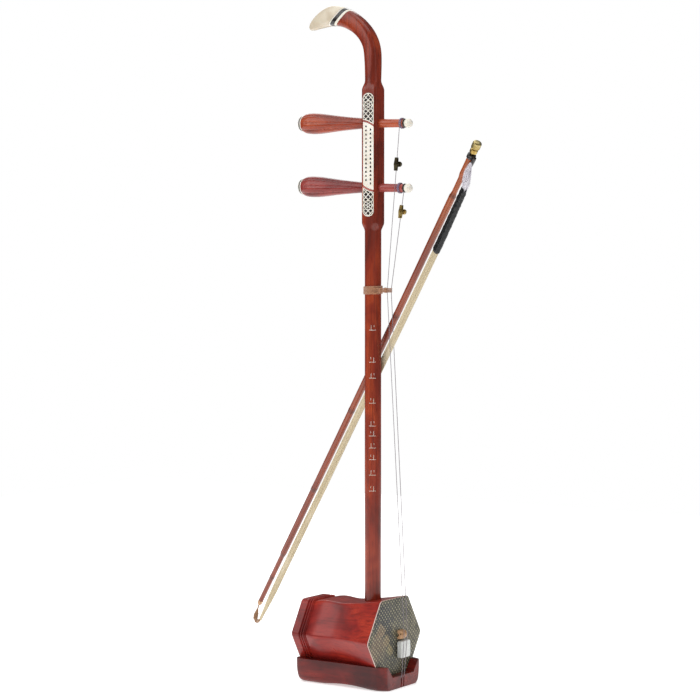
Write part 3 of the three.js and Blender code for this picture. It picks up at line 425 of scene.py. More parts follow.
def snakeskin(name):
    """Diamond scales in staggered rows, each with a pale middle, over cloudy markings."""
    graph = Graph(name, Coat_Weight=0.15, Coat_Roughness=0.3)
    x, _, z = graph.axes()
    bend = graph.math("MULTIPLY", graph.math("SUBTRACT", graph.noise(28, detail=2), 0.5), 0.005)
    across = graph.math("DIVIDE", graph.math("ADD", x, bend), SCALE_WIDTH * MM)
    up = graph.math("DIVIDE", graph.math("ADD", z, bend), SCALE_HEIGHT * MM)
    one = graph.math("ADD", across, up)
    two = graph.math("SUBTRACT", across, up)
    edges = []
    for value in (one, two):
        part = graph.math("FRACT", value)
        edges.append(graph.math("ABSOLUTE", graph.math("SUBTRACT", part, 0.5)))
    reach = graph.math("MAXIMUM", *edges)
    combined = graph.nodes.new("ShaderNodeCombineXYZ")
    graph.put(combined.inputs[0], graph.math("FLOOR", one))
    graph.put(combined.inputs[1], graph.math("FLOOR", two))
    random_cell = graph.nodes.new("ShaderNodeTexWhiteNoise")
    graph.links.new(combined.outputs[0], random_cell.inputs["Vector"])
    lottery = random_cell.outputs["Value"]

    cloud = graph.noise(55, rough=0.6, warp=0.8)
    olive = [(0.3, rgb(62, 60, 50)), (0.5, rgb(98, 92, 72)), (0.72, rgb(126, 118, 90))]
    field = graph.ramp(cloud, olive)
    field = graph.mix(graph.math("MULTIPLY", lottery, 0.35), field, rgb(66, 64, 54))
    wander = graph.noise(130, rough=0.6, warp=0.8)
    for (centre_x, centre_z), size, strength, tint in SKIN_PATCHES:
        far = graph.nodes.new("ShaderNodeVectorMath")
        far.operation = "DISTANCE"
        graph.links.new(graph.stretched((1, 0, 1)), far.inputs[0])
        far.inputs[1].default_value = (centre_x * MM, 0, centre_z * MM)
        loose = graph.math("ADD", far.outputs["Value"], graph.math("MULTIPLY", wander, 2 * size * MM))
        mask = graph.spread(loose, size * MM * 1.9, size * MM * 2.4, strength, 0.0)
        field = graph.mix(mask, field, tint)
    middle = graph.spread(reach, 0.12, 0.3, 1.0, 0.0)
    pale = graph.math("MULTIPLY", middle, graph.spread(lottery, 0.1, 0.6, 0.25, 0.8))
    tone = graph.mix(graph.math("MULTIPLY", pale, 0.8), field, rgb(190, 182, 142))
    seam = graph.spread(reach, 0.36, 0.47)
    tone = graph.mix(graph.math("MULTIPLY", seam, 0.75), tone, rgb(30, 28, 24))
    graph.colour(tone)
    graph.roughness(cloud, 0.5, 0.36)
    dome = graph.spread(reach, 0.1, 0.5, 1.0, 0.0)
    fine = graph.noise(1200, detail=3)
    graph.bump(graph.math("ADD", dome, graph.math("MULTIPLY", fine, 0.15)), 0.6, 0.0005)
    return graph.material


# ---- mesh kit -----------------------------------------------------------------------------------
def loft(rings, loop=False):
    """A closed body through rings of equally many points, as (points, faces)."""
    count = len(rings[0])
    faces = []
    for s in range(len(rings) if loop else len(rings) - 1):
        a, b = s * count, (s + 1) % len(rings) * count
        for i in range(count):
            j = (i + 1) % count
            faces.append((a + i, b + i, b + j, a + j))
    if not loop:
        last = (len(rings) - 1) * count
        faces.append(tuple(range(count)))
        faces.append(tuple(range(last, last + count)))
    return [tuple(p) for ring in rings for p in ring], faces


def oval(x, y, z, half_x, half_y, count):
    """Points round an ellipse at one height."""
    turns = [2 * math.pi * k / count for k in range(count)]
    return [(x + half_x * math.cos(t), y + half_y * math.sin(t), z) for t in turns]


def turned(profile, segments=48, loop=False, shape=None):
    """A turned body about Z from (radius, z) pairs; shape scales a point's radius by its turn and z."""
    points, faces, starts = [], [], []
    for radius, z in profile:
        starts.append((len(points), radius > 0))
        if radius <= 0:
            points.append((0, 0, z))
            continue
        for i in range(segments):
            turn = 2 * math.pi * i / segments
            here = radius * (shape(turn, z) if shape else 1)
            points.append((here * math.cos(turn), here * math.sin(turn), z))
    following = starts[1:] + (starts[:1] if loop else [])
    for (a, round_a), (b, round_b) in zip(starts, following):
        for i in range(segments):
            j = (i + 1) % segments
            if round_a and round_b:
                faces.append((a + i, b + i, b + j, a + j))
            elif round_b:
                faces.append((a, b + i, b + j))
            elif round_a:
                faces.append((a + i, b, a + j))
    return points, faces


def rod(radius, low, high):
    """The profile of a plain cylinder."""
    return [(0, low), (radius, low), (radius, high), (0, high)]


def tube(path, radius, sides=10, closed=False):
    """A round bar along a path; radius is a number or a function of the share of the path."""
    points = [Vector(p) for p in path]
    last = len(points) - 1
    normal = None
    rings = []
    for i, here in enumerate(points):
        if closed:
            ahead, behind = points[(i + 1) % len(points)], points[i - 1]
        else:
            ahead, behind = points[min(i + 1, last)], points[max(i - 1, 0)]
        tangent = (ahead - behind).normalized()
        if normal is None:
            seed = Vector((1, 0, 0)) if abs(tangent.x) < 0.8 else Vector((0, 1, 0))
            normal = (seed - tangent * seed.dot(tangent)).normalized()
        normal = (normal - tangent * normal.dot(tangent)).normalized()
        side = tangent.cross(normal)
        size = radius(i / last) if callable(radius) else radius
        ring = []
        for k in range(sides):
            turn = 2 * math.pi * k / sides
            ring.append(here + normal * (size * math.cos(turn)) + side * (size * math.sin(turn)))
        rings.append(ring)
    return loft(rings, loop=closed)


def prism(outline, low, high, plane="xy"):
    """An outline pushed through from low to high along the axis across its plane."""
    def placed(a, b, level):
        return {"xy": (a, b, level), "xz": (a, level, b), "yz": (level, a, b)}[plane]

    return loft([[placed(a, b, level) for a, b in outline] for level in (low, high)])


def block(sizes, centre):
    half = [size / 2 for size in sizes]
    corners = [(-half[0], -half[1]), (half[0], -half[1]), (half[0], half[1]), (-half[0], half[1])]
    outline = [(centre[0] + a, centre[1] + b) for a, b in corners]
    return prism(outline, centre[2] - half[2], centre[2] + half[2])


def merged(*shapes):
    points, faces = [], []
    for more_points, more_faces in shapes:
        start = len(points)
        points += more_points
        faces += [tuple(start + i for i in face) for face in more_faces]
    return points, faces


def moved(shape, matrix):
    return [tuple(matrix @ Vector(p)) for p in shape[0]], shape[1]


def smooth_path(stations, steps):
    """Catmull-Rom through the stations, tuples of numbers, with the given steps in each span."""
    made = []
    for i in range(len(stations) - 1):
        before = stations[max(i - 1, 0)]
        start, end = stations[i], stations[i + 1]
        after = stations[min(i + 2, len(stations) - 1)]
        for k in range(steps):
            t = k / steps
            made.append(tuple(
                0.5 * (2 * b + (c - a) * t + (2 * a - 5 * b + 4 * c - d) * t * t
                       + (3 * b - a - 3 * c + d) * t ** 3)
                for a, b, c, d in zip(before, start, end, after)
            ))
    return made + [tuple(stations[-1])]


def bare_object(name, shape, matrix=None):
    """An object from a shape in millimetres, in the row frame or in the frame of a matrix."""
    offset = Vector((0, NECK_Y, 0)) if matrix is None else Vector()
    mesh = bpy.data.meshes.new(name)
    mesh.from_pydata([tuple((Vector(p) + offset) * MM) for p in shape[0]], [], shape[1])
    body = bmesh.new()
    body.from_mesh(mesh)
    bmesh.ops.recalc_face_normals(body, faces=body.faces)
    body.to_mesh(mesh)
    body.free()
    made = bpy.data.objects.new(name, mesh)
    bpy.context.scene.collection.objects.link(made)
    if matrix is not None:
        made.matrix_world = matrix
    return made


def surface(made, material, angle=35, bevel=0.0):
    made.data.polygons.foreach_set("use_smooth", [True] * len(made.data.polygons))
    made.data.set_sharp_from_angle(angle=math.radians(angle))
    made.data.materials.clear()
    made.data.materials.append(material)
    if bevel:
        soften(made, bevel, angle)


def finish_object(made, material, body, stands_for=(), angle=35, bevel=0.0):
    surface(made, material, angle, bevel)
    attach(made, body)
    if stands_for:
        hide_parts(*stands_for)
    return made


def piece(name, shape, material, body, slot, stands_for=(), matrix=None, angle=35, bevel=0.0,
          cuts=()):
    made = bare_object(name, shape, matrix)
    if cuts:
        carve(made, cuts)
    return finish_object(made, material, body, stands_for, angle, bevel)


def soften(made, width, angle):
    modifier = made.modifiers.new("soft_edges", "BEVEL")
    modifier.width = width * MM
    modifier.segments = 3
    modifier.limit_method = "ANGLE"
    modifier.angle_limit = math.radians(angle)
    modifier.harden_normals = False


def carve(made, shapes, matrix=None):
    """Takes the shapes out of an object, both given in the same frame."""
    cutters = [bare_object("cutter", shape, matrix) for shape in shapes]
    for cutter in cutters:
        modifier = made.modifiers.new("cut", "BOOLEAN")
        modifier.operation = "DIFFERENCE"
        modifier.solver = "EXACT"
        modifier.object = cutter
    bpy.context.view_layer.update()
    result = made.evaluated_get(bpy.context.evaluated_depsgraph_get())
    mesh = bpy.data.meshes.new_from_object(result)
    made.modifiers.clear()
    made.data = mesh
    for cutter in cutters:
        bpy.data.objects.remove(cutter)


def keep_node(node, material, bevel):
    """A CAD node that stays, with its own finish and softened edges."""
    surface(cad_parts[node], material, bevel=bevel)


def smoothstep(value, low, high):
    t = max(0.0, min(1.0, (value - low) / (high - low)))
    return t * t * (3 - 2 * t)


# ---- neck and head ------------------------------------------------------------------------------
RING_ANGLES = sorted({round(3.75 * i, 3) for i in range(96)})
# The head's centre line, half thickness in its plane and half width across it.
HEAD_STATIONS = [
    (0, HEAD_START_Z - 1, 9.4, 9.4),
    (0, 722, 9.0, 9.2),
    (1.6, 738, 8.8, 9.2),
    (7, 750.5, 8.9, 9.4),
    (16.5, 761.5, 9.3, 9.7),
    (28.5, 770, 10.2, 10.2),
    (41, 775.6, 11.2, 10.6),
    (54, 777.6, 11.5, 10.5),
    (66, 775.2, 9.8, 9),
    (76, 771.3, 7.5, 7),
    (83.5, 767.2, 4.9, 4.6),
    (87.5, 764.8, 2.4, 2.2),
]
BAND_NORMAL = Vector((0, 0.67, 0.742)).normalized()
BAND_START = Vector((0, 37.2, 773.9))
# The trim round the head: where each band starts and ends, from BAND_START along BAND_NORMAL.
BANDS = [
    ("head_band_white_inner", 0, 2.8),
    ("head_band_black", 3.1, 7.1),
    ("head_band_white_outer", 7.4, 8.4),
    ("head_cap", 8.7, None),
]


def block_radius(turn):
    diagonal = (BLOCK_HALF_X + BLOCK_HALF_Y - BLOCK_CHAMFER) / math.sqrt(2)
    faces = [(0, BLOCK_HALF_X), (90, BLOCK_HALF_Y), (180, BLOCK_HALF_X), (270, BLOCK_HALF_Y)]
    faces += [(normal, diagonal) for normal in (45, 135, 225, 315)]
    reach = []
    for normal, distance in faces:
        share = math.cos(turn - math.radians(normal))
        if share > 0.1:
            reach.append(distance / share)
    return min(reach)


def neck_ring(z, blend):
    ring = []
    for degrees in RING_ANGLES:
        turn = math.radians(degrees)
        radius = NECK_RADIUS + (block_radius(turn) - NECK_RADIUS) * blend
        ring.append((radius * math.cos(turn), radius * math.sin(turn), z))
    return ring


def head_rings():
    """Rings up the head, rounded with two soft ridges on each side."""
    stations = smooth_path(HEAD_STATIONS, 7)
    rings = []
    for i, (y, z, thick, wide) in enumerate(stations):
        before, after = stations[max(i - 1, 0)], stations[min(i + 1, len(stations) - 1)]
        run = Vector((after[0] - before[0], after[1] - before[1])).normalized()
        ridge = 2.0 + 1.3 * smoothstep(i, 0, 12)
        ring = []
        for degrees in RING_ANGLES:
            turn = math.radians(degrees)
            a, b = abs(math.cos(turn)) / wide, abs(math.sin(turn)) / thick
            radius = (a ** ridge + b ** ridge) ** (-1 / ridge)
            across, out = radius * math.cos(turn), radius * math.sin(turn)
            ring.append((across, y + out * run.y, z - out * run.x))
        rings.append(ring)
    return rings


def sliced(name, shape, low, high):
    """The part of a shape between two planes across the head's lean; None leaves that end whole."""
    made = bare_object(name, shape)
    body = bmesh.new()
    body.from_mesh(made.data)
    start = (BAND_START + Vector((0, NECK_Y, 0))) * MM
    for distance, keep_ahead in ((low, True), (high, False)):
        if distance is None:
            continue
        found = bmesh.ops.bisect_plane(
            body, geom=body.verts[:] + body.edges[:] + body.faces[:],
            plane_co=start + BAND_NORMAL * (distance * MM), plane_no=BAND_NORMAL,
            clear_inner=keep_ahead, clear_outer=not keep_ahead)
        edges = [e for e in found["geom_cut"] if isinstance(e, bmesh.types.BMEdge)]
        if edges:
            bmesh.ops.edgeloop_fill(body, edges=edges)
    bmesh.ops.recalc_face_normals(body, faces=body.faces)
    body.to_mesh(made.data)
    body.free()
    return made


def build_neck(wood, pale, dark, cap_material):
    rings = [neck_ring(NECK_FOOT_Z, 0), neck_ring(200, 0), neck_ring(400, 0)]
    steps = 10
    for i in range(steps + 1):
        z = BLOCK_LOW_Z - BLOCK_FLARE + BLOCK_FLARE * i / steps
        rings.append(neck_ring(z, smoothstep(i, -1, steps)))
    rings.append(neck_ring((BLOCK_LOW_Z + BLOCK_HIGH_Z) / 2, 1))
    for i in range(steps + 1):
        z = BLOCK_HIGH_Z + BLOCK_FLARE * i / steps
        rings.append(neck_ring(z, 1 - smoothstep(i, 0, steps + 1)))
    body = loft(rings + head_rings()[1:])
    neck = sliced("neck_wood", body, None, -GAP)
    finish_object(neck, wood, "instrument", ("neck",), angle=50)
    head = loft(head_rings())
    for name, low, high in BANDS:
        band = sliced(name + "_trim", head, low, high)
        material = dark if "black" in name else (cap_material if name == "head_cap" else pale)
        finish_object(band, material, "instrument", (name,), angle=50, bevel=0.25)


MARK_HEIGHTS = [412.5, 375.5, 357, 328, 301.5, 290, 276, 262.5, 244.5, 226]
MARK_AZIMUTH = math.radians(-61)
MARK_HALF_TURN = 0.42  # from the middle of a line to its end round the neck, in radians
MARK_PROUD = 0.02
MARK_LINE_RADIUS = 0.22
MARK_TICK_RADIUS = 0.2
# A mark's two ticks: turn from the middle of its line, rise above the line and length.
MARK_TICKS = [(0.16, 0, 5.5), (-0.2, 3.4, 2.2)]


def build_position_marks(pale):
    """Short inlaid lines up the neck where the player stops the strings, each with two ticks."""
    shapes = []
    for i, z in enumerate(MARK_HEIGHTS):
        shapes.append(neck_line(z, -MARK_HALF_TURN, MARK_HALF_TURN))
        side = 1 if i % 2 else -1
        for turn, rise, length in MARK_TICKS:
            shapes.append(neck_tick(z + rise, turn * side, length))
    piece("position_marks", merged(*shapes), pale, "instrument", "ivory")


def on_neck(turn, z):
    azimuth = MARK_AZIMUTH + turn
    radius = NECK_RADIUS + MARK_PROUD
    return (radius * math.sin(azimuth), -radius * math.cos(azimuth), z)


def neck_line(z, start, end):
    path = [on_neck(start + (end - start) * i / 10, z) for i in range(11)]
    return tube(path, MARK_LINE_RADIUS, 6)


def neck_tick(z, turn, length):
    path = [on_neck(turn, z + length * i / 4) for i in range(5)]
    return tube(path, MARK_TICK_RADIUS, 6)


# ---- inlays -------------------------------------------------------------------------------------
INLAY_FACE_X = -10.2
INLAY_HALF = 7.3
INLAY_LOW_Z = 543.3
INLAY_HIGH_Z = 685.7
PLAQUE_LOW_Z = 576.5
PLAQUE_HIGH_Z = 650
PLAQUE_SLANT = 3
DOME_RISE = INLAY_HALF * 0.8  # the rounded far end of each openwork
MEDALLION_Z = {"upper": 671, "lower": 556.5}
NET_SPACING = 6.2
NET_STEEPNESS = 0.95
DIAMOND_STEP = 4.75
DIAMOND_COLUMNS = [(3.1, 647.4), (-3.1, 643.4)]  # place across the plaque and height of the first


def slanted(z, bow):
    """Points along a slanted, slightly bowed line across the inlay, from -Y to +Y."""
    line = []
    steps = 12
    for i in range(steps + 1):
        share = 2 * i / steps - 1
        line.append((share * INLAY_HALF, z + PLAQUE_SLANT * share + bow * (1 - share * share)))
    return line


def raised(path, radius, closed=False, proud=0.0):
    return tube([(INLAY_FACE_X - proud, y, z) for y, z in path], radius, 8, closed=closed)


def circle(centre, radius, steps=28, start=0.0, sweep=360.0):
    made = []
    count = steps if sweep == 360.0 else steps + 1
    for i in range(count):
        turn = math.radians(start + sweep * i / steps)
        made.append((centre[0] + radius * math.cos(turn), centre[1] + radius * math.sin(turn)))
    return made


def petal(centre, turn, inner, outer, half_width):
    """A closed leaf outline pointing away from the centre."""
    made = []
    for i in range(16):
        angle = 2 * math.pi * i / 16
        out = (inner + outer) / 2 + (outer - inner) / 2 * math.cos(angle)
        side = half_width * math.sin(angle)
        c, s = math.cos(turn), math.sin(turn)
        made.append((centre[0] + out * c - side * s, centre[1] + out * s + side * c))
    return made


def medallion(centre):
    """A flower of six leaves in a ring."""
    shapes = [raised(circle(centre, 5.5), 0.42, True), raised(circle(centre, 1.5, 16), 0.34, True)]
    for i in range(6):
        shapes.append(raised(petal(centre, math.pi * (i + 0.5) / 3, 1.9, 5.2, 1.5), 0.27, True))
    return shapes


def inside(point, outline):
    y, z = point
    crossings = 0
    for (y1, z1), (y2, z2) in zip(outline, outline[1:] + outline[:1]):
        if (z1 > z) != (z2 > z) and y < (y2 - y1) * (z - z1) / (z2 - z1) + y1:
            crossings += 1
    return crossings % 2 == 1


def net(outline, centre):
    """Crossing bars over the outline, left out inside the medallion."""
    shapes = []
    for lean in (-NET_STEEPNESS, NET_STEEPNESS):
        for row in range(-7, 8):
            path = []
            for i in range(61):
                y = INLAY_HALF * (i / 30 - 1)
                point = (y, centre[1] + row * NET_SPACING + lean * y)
                away = math.hypot(y - centre[0], point[1] - centre[1])
                if inside(point, outline) and away > 5.2:
                    path.append(point)
                    continue
                if len(path) > 3:
                    shapes.append(raised(path, 0.5))
                path = []
            if len(path) > 3:
                shapes.append(raised(path, 0.5))
    return shapes


def lattice_outline(upper):
    """The slanted edge along the plaque, then the dome at the far end."""
    way = 1 if upper else -1
    near, far = (PLAQUE_HIGH_Z, INLAY_HIGH_Z) if upper else (PLAQUE_LOW_Z, INLAY_LOW_Z)
    rise = way * DOME_RISE
    turns = [math.pi * i / 16 for i in range(17)]
    dome = [(INLAY_HALF * math.cos(t), far - rise + rise * math.sin(t)) for t in turns]
    return slanted(near + way * 1.4, way * 1.2) + dome


def shrunk(outline, share):
    middle = [sum(p[k] for p in outline) / len(outline) for k in (0, 1)]
    return [tuple(middle[k] + (p[k] - middle[k]) * share for k in (0, 1)) for p in outline]


def build_lattices(pale, dark_ground, pink):
    for name, upper in (("upper", True), ("lower", False)):
        outline = lattice_outline(upper)
        ground = prism(outline, -9.0, INLAY_FACE_X + 0.1, "yz")
        piece("inlay_ground_" + name, ground, dark_ground, "instrument", "black_horn")
        centre = (0, MEDALLION_Z[name])
        rim = shrunk(outline, 0.95)
        shapes = [raised(rim, 0.55, True)] + medallion(centre) + net(rim, centre)
        piece("inlay_openwork_" + name, merged(*shapes), pale, "instrument", "ivory",
              ("inlay_lattice_" + name,))
        shift = 0.75 if upper else -0.75
        line = slanted((PLAQUE_HIGH_Z if upper else PLAQUE_LOW_Z) + shift, shift * 1.5)
        second = [(y, z + 1.7 * shift) for y, z in line]
        double = [raised(line, 0.6, proud=-0.2), raised(second, 0.45, proud=-0.1)]
        piece("inlay_border_" + name, merged(*double), pink, "instrument", "red_wood")


def build_plaque(pale, ink):
    low = slanted(PLAQUE_LOW_Z + 0.4, -1.0)
    high = slanted(PLAQUE_HIGH_Z - 0.4, 1.0)
    outline = low + high[::-1]
    piece("inlay_plaque_plate", prism(outline, -8.8, INLAY_FACE_X, "yz"), pale, "instrument",
          "ivory", ("inlay_plaque",), bevel=0.3)
    marks = []
    for column, first in DIAMOND_COLUMNS:
        for i in range(14):
            z = first - i * DIAMOND_STEP
            wide, tall = 1.0 + 0.5 * RANDOM.random(), 1.2 + 0.5 * RANDOM.random()
            lozenge = [(column + wide, z), (column, z + tall), (column - wide, z), (column, z - tall)]
            marks.append(prism(lozenge, INLAY_FACE_X + 0.2, INLAY_FACE_X - 0.06, "yz"))
            foot = z - tall * 0.7
            bar = [(column - wide, foot - 0.25), (column + wide, foot - 0.25),
                   (column + wide, foot + 0.25), (column - wide, foot + 0.25)]
            marks.append(prism(bar, INLAY_FACE_X + 0.2, INLAY_FACE_X - 0.05, "yz"))
    piece("plaque_diamonds", merged(*marks), ink, "instrument", "black_horn")


# ---- pegs ---------------------------------------------------------------------------------------
# Heights here run along a peg's own axis, from the neck's axis towards the handle.
PEG_HEAD_START = 10.8
PEG_BUTT = 96
PEG_SHAFT_END = -42.4
COIL_FROM = {"upper_peg": -41.8, "lower_peg": -39.2}
COIL_LENGTH = 3.8
PEG_HEAD_PROFILE = [(6, 11.6), (6.4, 18), (7.4, 30), (8.6, 43), (9.9, 55), (11.1, 65), (12, 74),
                    (12.35, 82), (12.2, 87), (11.4, 92), (9.6, PEG_BUTT)]
PEG_FLUTES = 8
PEG_BALL_RADIUS = 5.3
PEG_BALL_CUT = 0.75  # half the angle of the flat where the ball meets its collar
PEG_COIL_WIRE = 0.62


def peg_matrix(z):
    place = Matrix.Translation(NECK_AT + Vector((0, 0, z * MM)))
    return place @ Matrix.Rotation(PEG_TILT, 4, "X") @ Matrix.Rotation(-math.pi / 2, 4, "X")


def flute(turn, z):
    """Narrow grooves between soft lobes, which fade in along the handle."""
    if z < PEG_HEAD_START:
        return 1
    grow = smoothstep(z, 14, 40) * (1 - 0.75 * smoothstep(z, 88, PEG_BUTT))
    lobe = PEG_FLUTES * turn / (2 * math.pi) % 1
    offset = min(lobe, 1 - lobe)
    groove = math.exp(-((offset / 0.085) ** 2))
    return 1 - grow * (0.055 * groove + 0.03 * (1 - math.sin(math.pi * lobe)))


def disc(low, high, radius):
    """The profile of a disc with its edges cut back a little."""
    edge = 0.3
    return [(0, low), (radius - edge, low), (radius, low + edge), (radius, high - edge),
            (radius - edge, high), (0, high)]


def build_peg(name, z, wood, pale, dark, winding):
    matrix = peg_matrix(z)
    handle = smooth_path(PEG_HEAD_PROFILE, 6)
    profile = [(0, PEG_SHAFT_END), (4.5, PEG_SHAFT_END), (4.7, PEG_SHAFT_END + 0.4),
               (PEG_SHAFT_RADIUS, -11), (PEG_SHAFT_RADIUS, PEG_HEAD_START),
               (5.7, PEG_HEAD_START + 0.15), *handle, (0, PEG_BUTT)]
    shape = turned(profile, 128, shape=flute)
    piece(name + "_wood", shape, wood, name, name + "_wood", (name,), matrix, angle=60)

    def fit(ending, profile, material, slot, node_ending):
        piece(name + ending, turned(profile, 64), material, name, slot, (name + node_ending,), matrix)

    butt = PEG_BUTT + GAP
    fit("_ring_white", disc(butt, butt + 1.4, 9.3), pale, "ivory", "_butt_ring_white")
    fit("_ring_black", disc(butt + 1.7, butt + 3.1, 9.0), dark, "black_horn", "_butt_ring_black")
    dome = [(0, butt + 3.4), (8.2, butt + 3.4), (8.45, butt + 3.7)]
    rise = [math.pi / 2 * i / 12 for i in range(1, 12)]
    dome += [(8.45 * math.cos(t), butt + 3.7 + 2.7 * math.sin(t)) for t in rise]
    dome += [(0, butt + 6.4)]
    fit("_cap", dome, pale, "ivory", "_butt_cap")

    tip = PEG_SHAFT_END - GAP
    fit("_collar", disc(tip - 1, tip, 5.2), dark, "black_horn", "_tip_collar")
    flat = tip - 1 - GAP
    size = PEG_BALL_RADIUS
    centre = flat - size * math.cos(PEG_BALL_CUT)
    arc = [math.pi - (math.pi - PEG_BALL_CUT) * i / 28 for i in range(29)]
    round_part = [(size * math.sin(t), centre + size * math.cos(t)) for t in arc[1:]]
    fit("_ball", [(0, centre - size), *round_part, (0, flat)], pale, "ivory", "_tip_ball")

    path = []
    turns, steps = 4, 36
    run = PEG_SHAFT_RADIUS + STRING_RADIUS + 0.12
    for i in range(turns * steps + 1):
        turn = 2 * math.pi * i / steps
        height = COIL_FROM[name] + 0.6 + (COIL_LENGTH - 1.2) * i / (turns * steps)
        path.append((run * math.cos(turn), run * math.sin(turn), height))
    piece(name + "_coil", tube(path, PEG_COIL_WIRE, 8), winding, name, "string_steel",
          (name + "_string_winding",), matrix)


# ---- sound box ----------------------------------------------------------------------------------
BOX_WALL = 7
FACE_HALF_HEIGHT = 46  # the front face, over the rounded corners
FACE_HALF_WIDTH = 57
# The box's outside from front to back: place along it, half height and half width.
BOX_STATIONS = [
    (BOX_FRONT_Y, FACE_HALF_HEIGHT, FACE_HALF_WIDTH),
    (-20, 44.6, 54.6),
    (-8, 42.6, 51.4),
    (6, 40.6, 48.2),
    (20, 38.9, 45.8),
    (33, 38.2, 44.8),
    (50, 39.6, 46.4),
    (60, 38.9, 45.4),
    (BOX_REAR_Y, 37.4, 43.6),
]
RIM_MOUTH = (29.4, 34.4)
CORNER_ROUND = 0.075  # how far a corner's rounding reaches, as a share of the hexagon's side


def hexagon_ring(y, half_height, half_width):
    """A hexagon with rounded corners in the plane at y."""
    steps, straight = 6, 4
    corners = [(half_width, 0), (half_width / 2, half_height), (-half_width / 2, half_height),
               (-half_width, 0), (-half_width / 2, -half_height), (half_width / 2, -half_height)]
    ring = []
    for i in range(6):
        here, before, after = (Vector(corners[k % 6]) for k in (i, i - 1, i + 1))
        start, end = here.lerp(before, CORNER_ROUND), here.lerp(after, CORNER_ROUND)
        for k in range(steps + 1):
            t = k / steps
            ring.append(start * (1 - t) ** 2 + here * (2 * t * (1 - t)) + end * t * t)
        stop = after.lerp(here, CORNER_ROUND)
        ring += [end.lerp(stop, k / straight) for k in range(1, straight)]
    return [(p.x, y, BOX_CENTRE_Z + p.y) for p in ring]


def inset(stations, wall):
    return [(y, high - wall, wide - wall * 1.15) for y, high, wide in stations]


def hexagon_sleeve(outer, inner):
    return loft([hexagon_ring(*station) for station in outer + inner[::-1]], loop=True)


def build_sound_box(wood, edging, skin):
    stations = smooth_path(BOX_STATIONS, 6)
    shell = hexagon_sleeve(stations, inset(stations, BOX_WALL))
    hole = turned(rod(NECK_RADIUS + 0.15, 80, 130), 64)
    piece("sound_box_wood", shell, wood, "instrument", "red_wood", ("sound_box_shell",),
          cuts=[hole], angle=40)

    back, lip = BOX_FRONT_Y - GAP, SKIN_FRONT_Y + 0.55  # the edging's rear and front
    outer = [(lip, 45.9, 56.9), (lip + 0.15, 46.1, 57.1), (back - 0.15, 46.1, 57.1), (back, 45.9, 56.9)]
    piece("front_edge_line", hexagon_sleeve(outer, inset(outer, 1.5)), edging, "instrument", "ivory",
          ("front_edging",), angle=60)

    rings = []
    for y, share in ((back, 0.964), (lip - 0.04, 0.964), (lip - 0.05, 0.992),
                     (SKIN_FRONT_Y + 0.3, 0.997), (SKIN_FRONT_Y + 0.08, 0.99),
                     (SKIN_FRONT_Y, 0.972), (SKIN_FRONT_Y - 0.02, 0.8), (SKIN_FRONT_Y, 0.4),
                     (SKIN_FRONT_Y, 0.1)):
        rings.append(hexagon_ring(y, FACE_HALF_HEIGHT * share, FACE_HALF_WIDTH * share))
    piece("snakeskin_sheet", loft(rings), skin, "instrument", "snakeskin", ("snakeskin_face",),
          angle=60)


GROOVES = (67.6, 70.8, 74)
GROOVE_DEPTH = 2.0
RIM_HALF_HEIGHT = 38.9
RIM_WIDTH_SHARE = 1.166  # the rim's half width over its half height


def rim_profile():
    """The rear rim's outside with its three grooves and a rounded back edge, from front to back."""
    start = BOX_REAR_Y + GAP
    made = []
    steps = 76
    for i in range(steps + 1):
        y = start + (RIM_END_Y - start) * i / steps
        cut = sum(GROOVE_DEPTH * math.exp(-(((y - groove) / 0.75) ** 2)) for groove in GROOVES)
        lead = 1.2 * (1 - smoothstep(y, start, start + 1.4))
        tail = 1.1 * smoothstep(y, RIM_END_Y - 1.6, RIM_END_Y)
        high = RIM_HALF_HEIGHT - cut - lead - tail
        made.append((y, high, high * RIM_WIDTH_SHARE))
    return made


WINDOW_EYE_RADIUS = 6.4
# Rings of six openings: turn of the first in sixths, reach across and up, radius and sides.
WINDOW_RINGS = [
    (0.5, 13.2, 12.4, 4.6, 6),
    (0.5, 22.6, 21, 3.2, 4),
    (0, 20.4, 18.4, 4.3, 6),
    (0, 27.6, 24, 2.2, 4),
]


def build_rim(wood, window_wood):
    outer = rim_profile()
    first, last = outer[0][0], outer[-1][0]
    high, wide = RIM_MOUTH
    inner = [(first, high, wide), (first + 8, high + 0.4, wide + 0.4),
             (last - 2, high + 1.2, wide + 1.4), (last - 0.6, high + 1.8, wide + 2),
             (last, high + 2.8, wide + 3.2)]
    piece("rear_rim_wood", hexagon_sleeve(outer, inner), wood, "instrument", "red_wood",
          ("rear_rim",), angle=50)

    low = BOX_REAR_Y + GAP + 3
    plate = loft([hexagon_ring(y, high - GAP, wide - GAP) for y in (low, low + 4)])
    cuts = []

    def opening(x, z, radius, turn, sides):
        turns = [turn + 2 * math.pi * k / sides for k in range(sides)]
        outline = [(x + radius * math.cos(t), BOX_CENTRE_Z + z + radius * math.sin(t)) for t in turns]
        cuts.append(prism(outline, low - 1, low + 5, "xz"))

    opening(0, 0, WINDOW_EYE_RADIUS, 0, 24)
    for i in range(6):
        for first_turn, across, up, radius, sides in WINDOW_RINGS:
            turn = math.pi / 3 * (i + first_turn)
            opening(across * math.cos(turn), up * math.sin(turn), radius, turn, sides)
    piece("sound_window_wood", plate, window_wood, "instrument", "red_wood", ("rear_sound_window",),
          cuts=cuts, bevel=0.25)


# ---- base ---------------------------------------------------------------------------------------
ARCH_INNER_X = 14
ARCH_FROM_Y = -20
ARCH_LENGTH = 66
ARCH_RISE = 3


